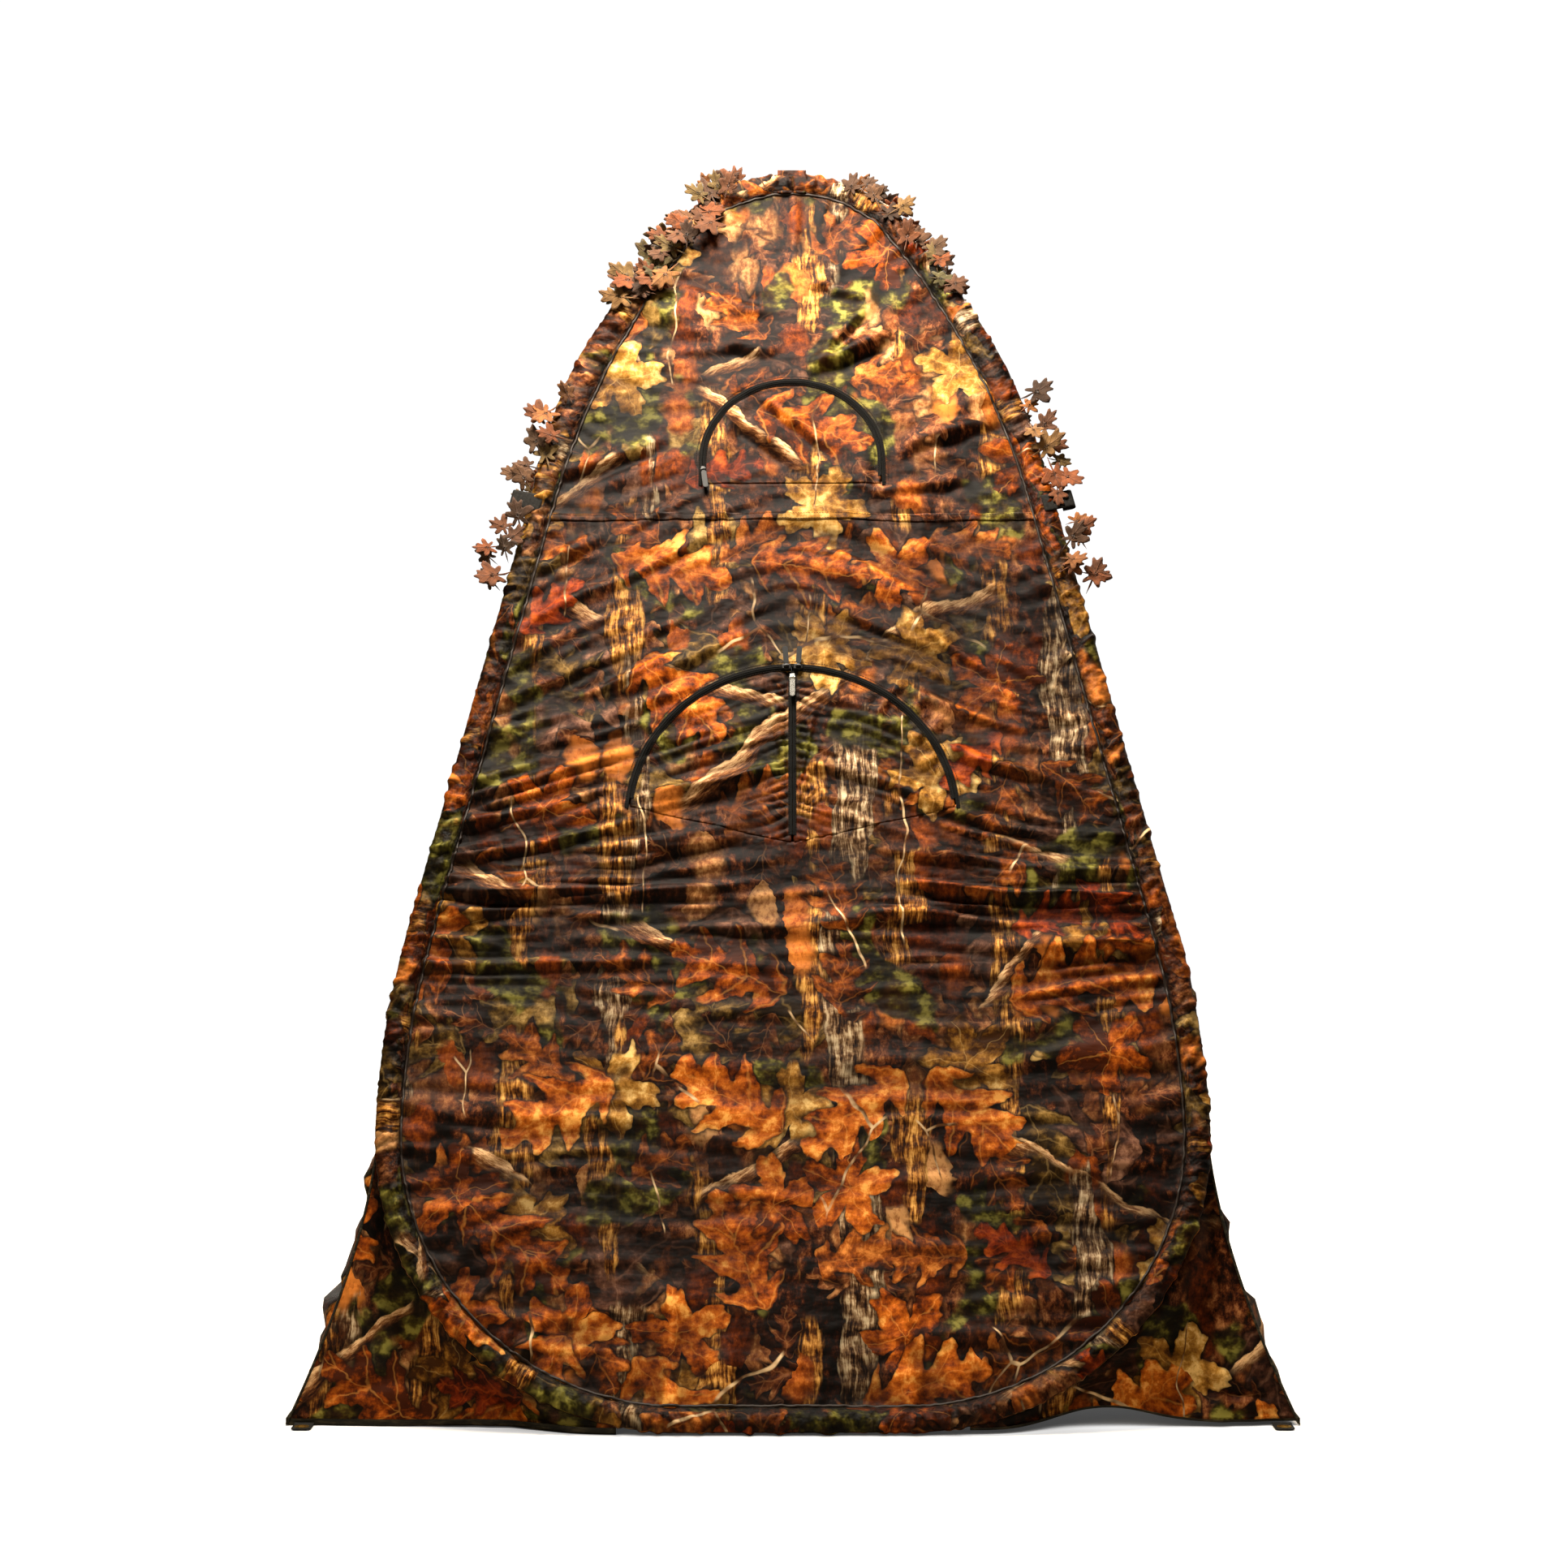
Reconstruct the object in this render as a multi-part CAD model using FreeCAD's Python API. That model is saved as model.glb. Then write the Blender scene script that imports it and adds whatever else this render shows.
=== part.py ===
"""Pop up ground blind: two spring hoops that lean on each other at the crown, skinned in camouflage fabric.

Millimetres, +Z up. The origin is the middle of the ground footprint. The front wall faces -Y, and
left and right are as seen from the front. A wall is drawn flat, in its own wall frame, and then
leaned into place: w runs to the right, s runs up the slope, and n points out of the blind.
"""
import FreeCAD, Part
import math
import os

# ---- driving dimensions -------------------------------------------------------------------
# the lean of each wall, and where the two walls turn about each other at the crown
LEAN = 23.0
CROWN_S = 1790.0
CROWN_OFFSET = 9.0

# hoop outline: tangent arcs from the ground to the crown, measured on the sleeve's outer edge
HOOP_TOP = 1793.0
HOOP_WIDE = 525.0
CORNER_RADIUS = 388.0
SIDE_RADIUS = 1200.0
CROWN_RADIUS = 200.0
SIDE_TURN = 12.7
SHOULDER_TURN = 35.0

# fabric and the sleeve that holds the spring hoop
FABRIC = 1.0
PANEL_HALF = FABRIC / 2
SLEEVE_WIDTH = 32.0
SLEEVE_HALF = 7.0
PANEL_INSET = 24.0
HOOP_INSET = 9.0
STRIP_THICK = 1.4
STRIP_HALF = 3.0
STRIP_GAP = 1.0
FERRULE_HALF = 18.0
FERRULE_WALL = 1.4

# footprint and the fabric that closes the sides
BASE_HALF = 625.0
CORNER_Y = 640.0
GUSSET_INNER_W = 137.0
GUSSET_INNER_Y = 676.0
HEM_INNER = 215.0
FLARE_TOP = CORNER_RADIUS * math.cos(math.radians(LEAN))
FLARE_POWER = 1.6
HEM_HEIGHT = 9.4
SIDE_INSET = 4.0
SIDE_TOP_Z = 1612.0
CLEAR = 0.6

# horizontal seam, 12 mm tape over it
SEAM_S = 1248.0
SEAM_HALF = 6.0

# windows: arch centre, arch radius and the fold line each flap turns on
UPPER_CENTRE_S = 1334.0
UPPER_RADIUS = 122.0
UPPER_FOLD_S = 1301.0
LOWER_CENTRE_S = 809.0
LOWER_RADIUS = 214.0
LOWER_FOLD_END_S = 825.0
LOWER_FOLD_MID_S = 775.0

# door in the rear wall: a triangle split by an upright zip
DOOR_TOP_S = 1210.0
DOOR_BASE_S = 100.0
DOOR_HALF = 290.0

# zips: two tapes that meet at the zip line, each with a coil
ZIP_GAP = 0.3
TAPE_WIDTH = 5.3
COIL_WIDTH = 2.0
FABRIC_BACK = 1.5
TAPE_LOW = PANEL_HALF + 0.2
TAPE_HIGH = TAPE_LOW + 0.6
COIL_HIGH = 2.8
FOLD_GAP = 0.8
TAPE_OFF_FOLD = 8.0

# sliders and pulls
SLIDER_LOW = 3.1
SLIDER_HIGH = 5.6
LUG_HALF = 3.5
LUG_IN = 2.3
LUG_TOP = 9.4
PIN_N = 8.3
PIN_RADIUS = 0.8
EYE_RADIUS = 2.0
EYE_BORE = 1.05
PULL_LENGTH = 28.0
PULL_HALF = 3.5
PULL_THICK = 1.4
UPPER_SLIDER_ANGLE = 188.0
ARCH_SLIDER_STEP = 2.1
CENTRE_SLIDER_S = 1006.0
DOOR_SLIDER_S = DOOR_BASE_S - 14.0

# leaf strips, webbing loops and peg points
GARLAND_LOW = 7.6
GARLAND_HIGH = 9.6
GARLAND_SIDE = (-40.0, 14.0)
GARLAND_CROWN = (-14.0, 22.0)
LOOP_S = 1268.0
LOOP_HALF = 12.5
LOOP_BEND = 4.0
WEBBING = 1.2
TAB_X = 602.0
TAB_HALF = 12.0
TAB_LENGTH = 32.0
TAB_LOW = 0.9
TAB_HIGH = 2.3
GROMMET_BORE = 5.5
GROMMET_BARREL = 6.5
GROMMET_FLANGE = 9.0
GROMMET_HIGH = 3.2
STRAP_HALF = 20.0

# ---- the wall frame, worked out from the lean ---------------------------------------------
SIN = math.sin(math.radians(LEAN))
COS = math.cos(math.radians(LEAN))
WALL_Z = SLEEVE_HALF * SIN
WALL_Y = CROWN_S * SIN + CROWN_OFFSET * COS
FAR = 3000.0


def vec(x, y, z=0.0):
    return FreeCAD.Vector(x, y, z)


def wall_placement():
    """Placement that leans the flat wall frame back into the front wall."""
    lean = FreeCAD.Rotation(vec(1, 0, 0), 90.0 - LEAN)
    return FreeCAD.Placement(vec(0, -WALL_Y, WALL_Z), lean)


def to_front(shape):
    """Lean a shape drawn in the wall frame into the front wall."""
    placed = shape.copy()
    placed.Placement = wall_placement().multiply(placed.Placement)
    return placed


def turn_round(shape):
    """Turn a placed front piece half a turn about Z, which makes it the rear piece."""
    return shape.rotated(vec(0, 0, 0), vec(0, 0, 1), 180.0)


def to_rear(shape):
    return turn_round(to_front(shape))


def behind_wall_y(z, n):
    """World y of the front wall's layer at height n off the wall plane, at world height z."""
    return -WALL_Y + (z - WALL_Z) * SIN / COS - n / COS


# ---- hoop outline ---------------------------------------------------------------------------
def on_circle(centre, radius, degrees):
    angle = math.radians(degrees)
    return (centre[0] + radius * math.cos(angle), centre[1] + radius * math.sin(angle))


def hoop_arcs(inset):
    """The right half's arcs as (centre, radius, start angle, end angle), moved in by inset."""
    corner = (HOOP_WIDE - CORNER_RADIUS, CORNER_RADIUS)
    side = (HOOP_WIDE - SIDE_RADIUS, CORNER_RADIUS)
    crown = (0.0, HOOP_TOP - CROWN_RADIUS)
    across = (math.cos(math.radians(SIDE_TURN)), math.sin(math.radians(SIDE_TURN)))
    reach = side[0] * across[0] + side[1] * across[1] + SIDE_RADIUS
    crown_reach = crown[0] * across[0] + crown[1] * across[1]
    fall = math.cos(math.radians(SHOULDER_TURN - SIDE_TURN))
    shoulder_radius = (reach - crown_reach - CROWN_RADIUS * fall) / (1.0 - fall)
    shoulder = on_circle(crown, CROWN_RADIUS - shoulder_radius, SHOULDER_TURN)
    return [
        (corner, CORNER_RADIUS - inset, -90.0, 0.0),
        (side, SIDE_RADIUS - inset, 0.0, SIDE_TURN),
        (shoulder, shoulder_radius - inset, SIDE_TURN, SHOULDER_TURN),
        (crown, CROWN_RADIUS - inset, SHOULDER_TURN, 90.0),
    ]


def half_outline(inset, side):
    """Edges of one half of the hoop outline, side +1 for right and -1 for left."""
    edges = []
    last = (0.0, inset)
    for centre, radius, start, end in hoop_arcs(inset):
        turns = (start, (start + end) / 2, end)
        points = [on_circle(centre, radius, turn) for turn in turns]
        gap = math.hypot(points[0][0] - last[0], points[0][1] - last[1])
        if gap > CLEAR:
            edges.append(Part.makeLine(vec(side * last[0], last[1]), vec(side * points[0][0], points[0][1])))
        ends = [vec(side * w, s) for w, s in points]
        edges.append(Part.Arc(*ends).toShape())
        last = points[2]
    return edges


def hoop_prism(inset, low, high):
    """The area inside the hoop outline, moved in by inset, as a slab from n = low to n = high."""
    edges = half_outline(inset, 1) + half_outline(inset, -1)
    face = Part.Face(Part.Wire(Part.sortEdges(edges)[0]))
    face.translate(vec(0, 0, low))
    return face.extrude(vec(0, 0, high - low))


def hoop_ring(outer, inner, low, high):
    return hoop_prism(outer, low, high).cut(hoop_prism(inner, low, high))


def block(low, high):
    """Box between two corners."""
    size = [b - a for a, b in zip(low, high)]
    return Part.makeBox(size[0], size[1], size[2], vec(*low))


def band(s_low, s_high, w_low=-FAR, w_high=FAR):
    """Everything between two slope heights, and between two widths where they are given."""
    return block((w_low, s_low, -FAR), (w_high, s_high, FAR))


def above_line(start, end, offset):
    """Everything on the left of the line from start to end, pushed to the left by offset."""
    angle = math.degrees(math.atan2(end[1] - start[1], end[0] - start[0]))
    half = block((-FAR, offset, -FAR), (FAR, FAR, FAR))
    half.rotate(vec(0, 0, 0), vec(0, 0, 1), angle)
    half.translate(vec(start[0], start[1]))
    return half


# ---- hoops, sleeves and panels ---------------------------------------------------------------
def make_sleeve():
    """Folded fabric channel round the hoop: closed along its outer edge, open towards the panel."""
    solid = hoop_ring(0.0, SLEEVE_WIDTH, -SLEEVE_HALF, SLEEVE_HALF)
    return solid.cut(hoop_prism(FABRIC, -SLEEVE_HALF + FABRIC, SLEEVE_HALF - FABRIC))


def make_hoop():
    """Flat spring strip bent into the hoop, with its two ends meeting at the middle of the foot."""
    ring = hoop_ring(HOOP_INSET, HOOP_INSET + STRIP_THICK, -STRIP_HALF, STRIP_HALF)
    return ring.cut(band(-FAR, CORNER_RADIUS, -STRIP_GAP / 2, STRIP_GAP / 2))


def make_ferrule():
    """Crimped tube over the two ends of the strip."""
    play = 0.15
    low = HOOP_INSET - play
    high = HOOP_INSET + STRIP_THICK + play
    across = STRIP_HALF + play
    wall = FERRULE_WALL
    outer = block((-FERRULE_HALF, low - wall, -across - wall), (FERRULE_HALF, high + wall, across + wall))
    outer = outer.makeFillet(1.0, [e for e in outer.Edges if abs(e.Length - 2 * FERRULE_HALF) < CLEAR])
    return outer.cut(block((-FAR, low, -across), (FAR, high, across)))


def panel_sheet():
    return hoop_prism(PANEL_INSET, -PANEL_HALF, PANEL_HALF)


def make_seam_tape():
    strip = hoop_prism(PANEL_INSET + 2.0, TAPE_LOW, TAPE_HIGH)
    return strip.common(band(SEAM_S - SEAM_HALF, SEAM_S + SEAM_HALF))


# ---- windows -----------------------------------------------------------------------------------
def arch_prism(centre_s, radius, low, high):
    """A round-topped arch with endless legs, as a slab from n = low to n = high."""
    disc = Part.makeCylinder(radius, high - low, vec(0, centre_s, low))
    legs = block((-radius, centre_s - FAR, low), (radius, centre_s, high))
    return disc.fuse(legs).removeSplitter()


def arch_ring(centre_s, inner, outer, low, high):
    return arch_prism(centre_s, outer, low, high).cut(arch_prism(centre_s, inner, low, high))


def arch_zip(centre_s, radius, side):
    """Half of an arched zip: side +1 is sewn to the wall, side -1 to the flap."""
    near = radius + side * ZIP_GAP
    coil = radius + side * COIL_WIDTH
    edge = radius + side * TAPE_WIDTH
    tape = arch_ring(centre_s, min(near, edge), max(near, edge), TAPE_LOW, TAPE_HIGH)
    teeth = arch_ring(centre_s, min(near, coil), max(near, coil), TAPE_LOW, COIL_HIGH)
    return tape.fuse(teeth).removeSplitter()


def straight_zip(side, s_low, s_high):
    """Half of an upright zip on the wall's centre line, side +1 to the right and -1 to the left."""
    near = side * ZIP_GAP
    coil = side * COIL_WIDTH
    edge = side * TAPE_WIDTH
    tape = block((min(near, edge), s_low, TAPE_LOW), (max(near, edge), s_high, TAPE_HIGH))
    teeth = block((min(near, coil), s_low, TAPE_LOW), (max(near, coil), s_high, COIL_HIGH))
    return tape.fuse(teeth).removeSplitter()


def over_upper_fold(offset):
    return above_line((0.0, UPPER_FOLD_S), (1.0, UPPER_FOLD_S), offset)


def lower_fold(side):
    """Ends of a lower flap's fold line, in the order that keeps the flap on the left of it."""
    reach = math.sqrt(LOWER_RADIUS ** 2 - (LOWER_FOLD_END_S - LOWER_CENTRE_S) ** 2)
    outer = (side * reach, LOWER_FOLD_END_S)
    middle = (0.0, LOWER_FOLD_MID_S)
    return (middle, outer) if side > 0 else (outer, middle)


def half_wall(side, gap=0.0):
    """Everything on one side of the wall's centre line."""
    return band(-FAR, FAR, gap, FAR) if side > 0 else band(-FAR, FAR, -FAR, -gap)


def window_openings():
    """The two holes in the front panel."""
    through = (-SLEEVE_HALF, SLEEVE_HALF)
    upper = arch_prism(UPPER_CENTRE_S, UPPER_RADIUS + FABRIC_BACK, *through)
    upper = upper.common(over_upper_fold(-2 * FOLD_GAP))
    arch = arch_prism(LOWER_CENTRE_S, LOWER_RADIUS + FABRIC_BACK, *through)
    sides = []
    for side in (-1, 1):
        piece = arch.common(above_line(*lower_fold(side), -2 * FOLD_GAP))
        sides.append(piece.common(half_wall(side)))
    return [upper] + sides


def make_upper_flap():
    arch = arch_prism(UPPER_CENTRE_S, UPPER_RADIUS - FABRIC_BACK, -PANEL_HALF, PANEL_HALF)
    return arch.common(over_upper_fold(FOLD_GAP))


def make_upper_tape(side):
    """The wall's tape runs past the fold line; the flap's tape stops short of it."""
    offset = -TAPE_WIDTH if side > 0 else TAPE_OFF_FOLD
    return arch_zip(UPPER_CENTRE_S, UPPER_RADIUS, side).common(over_upper_fold(offset))


def make_lower_flap(side):
    arch = arch_prism(LOWER_CENTRE_S, LOWER_RADIUS - FABRIC_BACK, -PANEL_HALF, PANEL_HALF)
    arch = arch.common(above_line(*lower_fold(side), FOLD_GAP))
    return arch.common(half_wall(side, FABRIC_BACK))


def make_lower_wall_tape():
    ring = arch_zip(LOWER_CENTRE_S, LOWER_RADIUS, 1)
    return ring.common(band(LOWER_FOLD_END_S - TAPE_WIDTH, FAR))


def make_lower_flap_tape(side):
    """A lower flap's tape: along the arch, and down the upright edge where the two flaps meet."""
    arch = arch_zip(LOWER_CENTRE_S, LOWER_RADIUS, -1).common(half_wall(side, ZIP_GAP))
    top = LOWER_CENTRE_S + LOWER_RADIUS - TAPE_WIDTH + FABRIC
    upright = straight_zip(side, LOWER_FOLD_MID_S, top)
    both = arch.fuse(upright).removeSplitter()
    return both.common(above_line(*lower_fold(side), TAPE_OFF_FOLD))


# ---- door in the rear wall -----------------------------------------------------------------
def door_fold(side):
    """Ends of a door flap's fold line, in the order that keeps the flap on the left of it."""
    top = (0.0, DOOR_TOP_S)
    foot = (side * DOOR_HALF, DOOR_BASE_S)
    return (foot, top) if side > 0 else (top, foot)


def door_half(side, offset, gap):
    """The door triangle on one side of the zip, moved in from its fold and its foot by offset."""
    foot = above_line((0.0, DOOR_BASE_S), (1.0, DOOR_BASE_S), offset)
    return above_line(*door_fold(side), offset).common(foot).common(half_wall(side, gap))


def door_opening(side):
    area = door_half(side, -2 * FOLD_GAP, 0.0)
    return area.common(block((-FAR, 0, -SLEEVE_HALF), (FAR, FAR, SLEEVE_HALF)))


def make_door_flap(side):
    sheet = block((-FAR, 0, -PANEL_HALF), (FAR, FAR, PANEL_HALF))
    return sheet.common(door_half(side, FOLD_GAP, FABRIC_BACK))


def make_door_flap_tape(side):
    tape = straight_zip(side, DOOR_BASE_S + FOLD_GAP, DOOR_TOP_S)
    return tape.common(above_line(*door_fold(side), TAPE_OFF_FOLD))


def make_door_tape_ends():
    """Short lengths of zip sewn to the wall beyond both ends of the slit, where the slider parks."""
    park = 26.0
    spans = [(DOOR_BASE_S - park, DOOR_BASE_S - FOLD_GAP), (DOOR_TOP_S + FOLD_GAP, DOOR_TOP_S + park)]
    pieces = []
    for low, high in spans:
        pieces.append(straight_zip(-1, low, high))
        pieces.append(straight_zip(1, low, high))
    return Part.makeCompound(pieces)


# ---- sliders and pulls, drawn along +X and then turned into place --------------------------------
def make_slider(lug_turn):
    """Top plate of a zip slider with two lugs and the pin that the pull hangs on."""
    outline = [(-6.0, -2.4), (-1.5, -4.5), (6.0, -3.6), (6.0, 3.6), (-1.5, 4.5), (-6.0, 2.4)]
    corners = [vec(u, v, SLIDER_LOW) for u, v in outline]
    plate = Part.Face(Part.makePolygon(corners + corners[:1])).extrude(vec(0, 0, SLIDER_HIGH - SLIDER_LOW))
    rim = [e for e in plate.Edges if e.BoundBox.ZMin > SLIDER_HIGH - CLEAR]
    plate = plate.makeFillet(0.8, rim)
    hanger = Part.makeCylinder(PIN_RADIUS, 2 * LUG_HALF, vec(0, -LUG_HALF, PIN_N), vec(0, 1, 0))
    round_top = LUG_TOP - PIN_N
    for side in (-1, 1):
        low, high = sorted((side * LUG_IN, side * LUG_HALF))
        post = block((-round_top, low, SLIDER_HIGH - FABRIC), (round_top, high, PIN_N))
        top = Part.makeCylinder(round_top, high - low, vec(0, low, PIN_N), vec(0, 1, 0))
        hanger = hanger.fuse([post, top])
    hanger.rotate(vec(0, 0, 0), vec(0, 0, 1), lug_turn)
    return plate.fuse(hanger).removeSplitter()


def make_pull():
    """Flat pull tab with the eye that turns on the slider's pin."""
    neck = 4.0
    low = PIN_N - PULL_THICK / 2
    eye = Part.makeCylinder(EYE_RADIUS, 2 * EYE_RADIUS, vec(0, -EYE_RADIUS, PIN_N), vec(0, 1, 0))
    tab = block((0, -EYE_RADIUS, low), (neck + FABRIC, EYE_RADIUS, low + PULL_THICK))
    plate = block((neck, -PULL_HALF, low), (PULL_LENGTH - PULL_HALF, PULL_HALF, low + PULL_THICK))
    tip = Part.makeCylinder(PULL_HALF, PULL_THICK, vec(PULL_LENGTH - PULL_HALF, 0, low))
    solid = eye.fuse([tab, plate, tip])
    bore = Part.makeCylinder(EYE_BORE, 4 * EYE_RADIUS, vec(0, -2 * EYE_RADIUS, PIN_N), vec(0, 1, 0))
    return solid.cut(bore).removeSplitter()


def on_wall(shape, place, degrees):
    """Turn a shape drawn along +X by an angle about the wall normal and move it to (w, s)."""
    turned = shape.rotated(vec(0, 0, 0), vec(0, 0, 1), degrees)
    turned.translate(vec(place[0], place[1]))
    return turned


def slider_places():
    """Every slider as name, place on its wall, the way its nose points and the way its pull points."""
    arch = (0.0, LOWER_CENTRE_S)
    left = on_circle(arch, LOWER_RADIUS, 90.0 + ARCH_SLIDER_STEP)
    right = on_circle(arch, LOWER_RADIUS, 90.0 - ARCH_SLIDER_STEP)
    upper = on_circle((0.0, UPPER_CENTRE_S), UPPER_RADIUS, UPPER_SLIDER_ANGLE)
    return [
        ("upper", upper, UPPER_SLIDER_ANGLE + 90.0, UPPER_SLIDER_ANGLE + 90.0),
        ("arch_left", left, ARCH_SLIDER_STEP, 94.0),
        ("arch_right", right, 180.0 - ARCH_SLIDER_STEP, 86.0),
        ("centre", (0.0, CENTRE_SLIDER_S), 90.0, -90.0),
        ("door", (0.0, DOOR_SLIDER_S), -90.0, -90.0),
    ]


# ---- sides, gussets and hems ---------------------------------------------------------------
def flare_width(z, inset):
    """Half-width of the tent at height z below the hoop's widest point."""
    widest = HOOP_WIDE - inset
    foot = BASE_HALF - (inset - SIDE_INSET)
    return widest + (foot - widest) * (1.0 - z / FLARE_TOP) ** FLARE_POWER


def side_profile(inset):
    """Half-width and height of a side wall from the hem up to the crown."""
    steps = 6
    points = []
    for i in range(steps):
        z = HEM_HEIGHT + (FLARE_TOP - HEM_HEIGHT) * i / steps
        points.append((flare_width(z, inset), z))
    for centre, radius, start, end in hoop_arcs(inset)[1:]:
        for i in range(4):
            w, s = on_circle(centre, radius, start + (end - start) * i / 4)
            points.append((w, WALL_Z + s * COS))
    return points


def front_edge(clear):
    """The side walls' front edge in the YZ plane, kept behind the sleeve by clear."""
    top_y = behind_wall_y(SIDE_TOP_Z, -SLEEVE_HALF - clear)
    knee_y = behind_wall_y(FLARE_TOP, -SLEEVE_HALF - 2 * clear)
    return [(-CORNER_Y, 0.0), (knee_y, FLARE_TOP), (top_y, SIDE_TOP_Z)]


def between_walls(low_z):
    """Everything between the two walls above a height, as a prism along X."""
    edge = front_edge(1.5)
    outline = edge + [(-y, z) for y, z in reversed(edge)]
    corners = [vec(-FAR, y, z) for y, z in outline]
    prism = Part.Face(Part.makePolygon(corners + corners[:1])).extrude(vec(2 * FAR, 0, 0))
    return prism.common(block((-FAR, -FAR, low_z), (FAR, FAR, FAR)))


def make_side_wall():
    """The right side wall: one sheet from the ground hem to the crown, between the two hoops."""
    outer = [vec(x, -FAR / 2, z) for x, z in side_profile(SIDE_INSET)]
    inner = [vec(x, -FAR / 2, z) for x, z in side_profile(SIDE_INSET + FABRIC)]
    outside = Part.BSplineCurve()
    outside.interpolate(outer)
    inside = Part.BSplineCurve()
    inside.interpolate(inner)
    foot = Part.makeLine(outer[0], inner[0])
    head = Part.makeLine(outer[-1], inner[-1])
    edges = [outside.toShape(), foot, inside.toShape(), head]
    sheet = Part.Face(Part.Wire(Part.sortEdges(edges)[0])).extrude(vec(0, FAR, 0))
    return sheet.common(between_walls(HEM_HEIGHT))


def gusset_y(x, z, back=0.0):
    """World y of the front gusset's sheet, which hangs from the hoop to the ground corner."""
    knee_x = HOOP_WIDE - SIDE_INSET
    knee_y = front_edge(1.5)[1][0]
    along = (GUSSET_INNER_Y - CORNER_Y) / (BASE_HALF - GUSSET_INNER_W)
    foot_y = -CORNER_Y - along * (BASE_HALF - knee_x)
    rise = (knee_y - foot_y) / FLARE_TOP
    return -CORNER_Y - along * (BASE_HALF - x) + rise * z + back


def make_gusset():
    """The right front gusset: a flat sheet behind the hoop's lower corner, down to the ground."""
    corners = []
    for x, z in ((0.0, 0.0), (BASE_HALF, 0.0), (BASE_HALF, FLARE_TOP), (0.0, FLARE_TOP)):
        corners.append(vec(x, gusset_y(x, z), z))
    sheet = Part.Face(Part.makePolygon(corners + corners[:1])).extrude(vec(0, FABRIC, 0))
    edge = []
    for i in range(7):
        z = HEM_HEIGHT + CLEAR + (FLARE_TOP - HEM_HEIGHT - CLEAR) * i / 6
        edge.append(vec(flare_width(z, SIDE_INSET + FABRIC) - CLEAR, -FAR, z))
    side = Part.BSplineCurve()
    side.interpolate(edge)
    inner = [vec(HEM_INNER, -FAR, edge[-1].z), vec(HEM_INNER, -FAR, edge[0].z)]
    lines = [Part.makeLine(edge[-1], inner[0]), Part.makeLine(inner[0], inner[1])]
    lines.append(Part.makeLine(inner[1], edge[0]))
    outline = Part.Wire(Part.sortEdges([side.toShape()] + lines)[0])
    sheet = sheet.common(Part.Face(outline).extrude(vec(0, FAR, 0)))
    return sheet.cut(to_front(hoop_prism(PANEL_INSET, -FAR / 10, FAR / 10)))


def make_front_hem():
    """Ground strips under the two front gussets."""
    strips = []
    outer = BASE_HALF - FABRIC - CLEAR
    for side in (-1, 1):
        plan = [(HEM_INNER, 0.0), (outer, 0.0), (outer, FABRIC), (HEM_INNER, FABRIC)]
        corners = [vec(side * x, gusset_y(x, 0.0, back), 0) for x, back in plan]
        face = Part.Face(Part.makePolygon(corners + corners[:1]))
        strips.append(face.extrude(vec(0, 0, HEM_HEIGHT)))
    return Part.makeCompound(strips)


def make_side_hem():
    """Ground strip under the right side wall."""
    return block((BASE_HALF - FABRIC, -CORNER_Y, 0.0), (BASE_HALF, CORNER_Y, HEM_HEIGHT - CLEAR))


def other_side(shape):
    """Mirror a right-hand shape to the left."""
    return shape.mirror(vec(0, 0, 0), vec(1, 0, 0))


# ---- leaf strips, webbing and peg points -------------------------------------------------------
def leaf_strip(insets, spans, side):
    """Backing of a leaf strip on the sleeve's face, as one solid for each span of slope height."""
    pieces = []
    for low, high in spans:
        ring = hoop_ring(insets[0], insets[1], GARLAND_LOW, GARLAND_HIGH)
        pieces.append(ring.common(band(low, high)).common(half_wall(side, 2 * STRAP_HALF)))
    return Part.makeCompound(pieces)


def side_strip(side):
    loop_clear = LOOP_HALF + 8.0
    spans = [(1130.0, LOOP_S - loop_clear), (LOOP_S + loop_clear, 1430.0)]
    return leaf_strip(GARLAND_SIDE, spans, side)


def crown_strip(side):
    return leaf_strip(GARLAND_CROWN, [(1575.0, FAR)], side)


def make_webbing_loop(side):
    """Webbing sewn over the sleeve's face and turned back on itself outside the hoop."""
    low = SLEEVE_HALF + 0.4
    centre = low - LOOP_BEND
    reach = 20.0
    over = 18.0
    tongue = block((-over, -LOOP_HALF, low), (reach, LOOP_HALF, low + WEBBING))
    bend = Part.makeCylinder(LOOP_BEND + WEBBING, 2 * LOOP_HALF, vec(reach, -LOOP_HALF, centre), vec(0, 1, 0))
    bend = bend.cut(Part.makeCylinder(LOOP_BEND, 2 * LOOP_HALF, vec(reach, -LOOP_HALF, centre), vec(0, 1, 0)))
    bend = bend.common(block((reach, -FAR, -FAR), (FAR, FAR, FAR)))
    under = centre - LOOP_BEND
    back = block((reach - 12.0, -LOOP_HALF, under - WEBBING), (reach, LOOP_HALF, under))
    loop = tongue.fuse([bend, back]).removeSplitter()
    side_centre, side_radius = hoop_arcs(0.0)[1][:2]
    start = on_circle(side_centre, side_radius, SIDE_TURN)
    slope = math.tan(math.radians(SIDE_TURN))
    loop = on_wall(loop, (start[0] - (LOOP_S - start[1]) * slope, LOOP_S), SIDE_TURN)
    return loop if side > 0 else other_side(loop)


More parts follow.
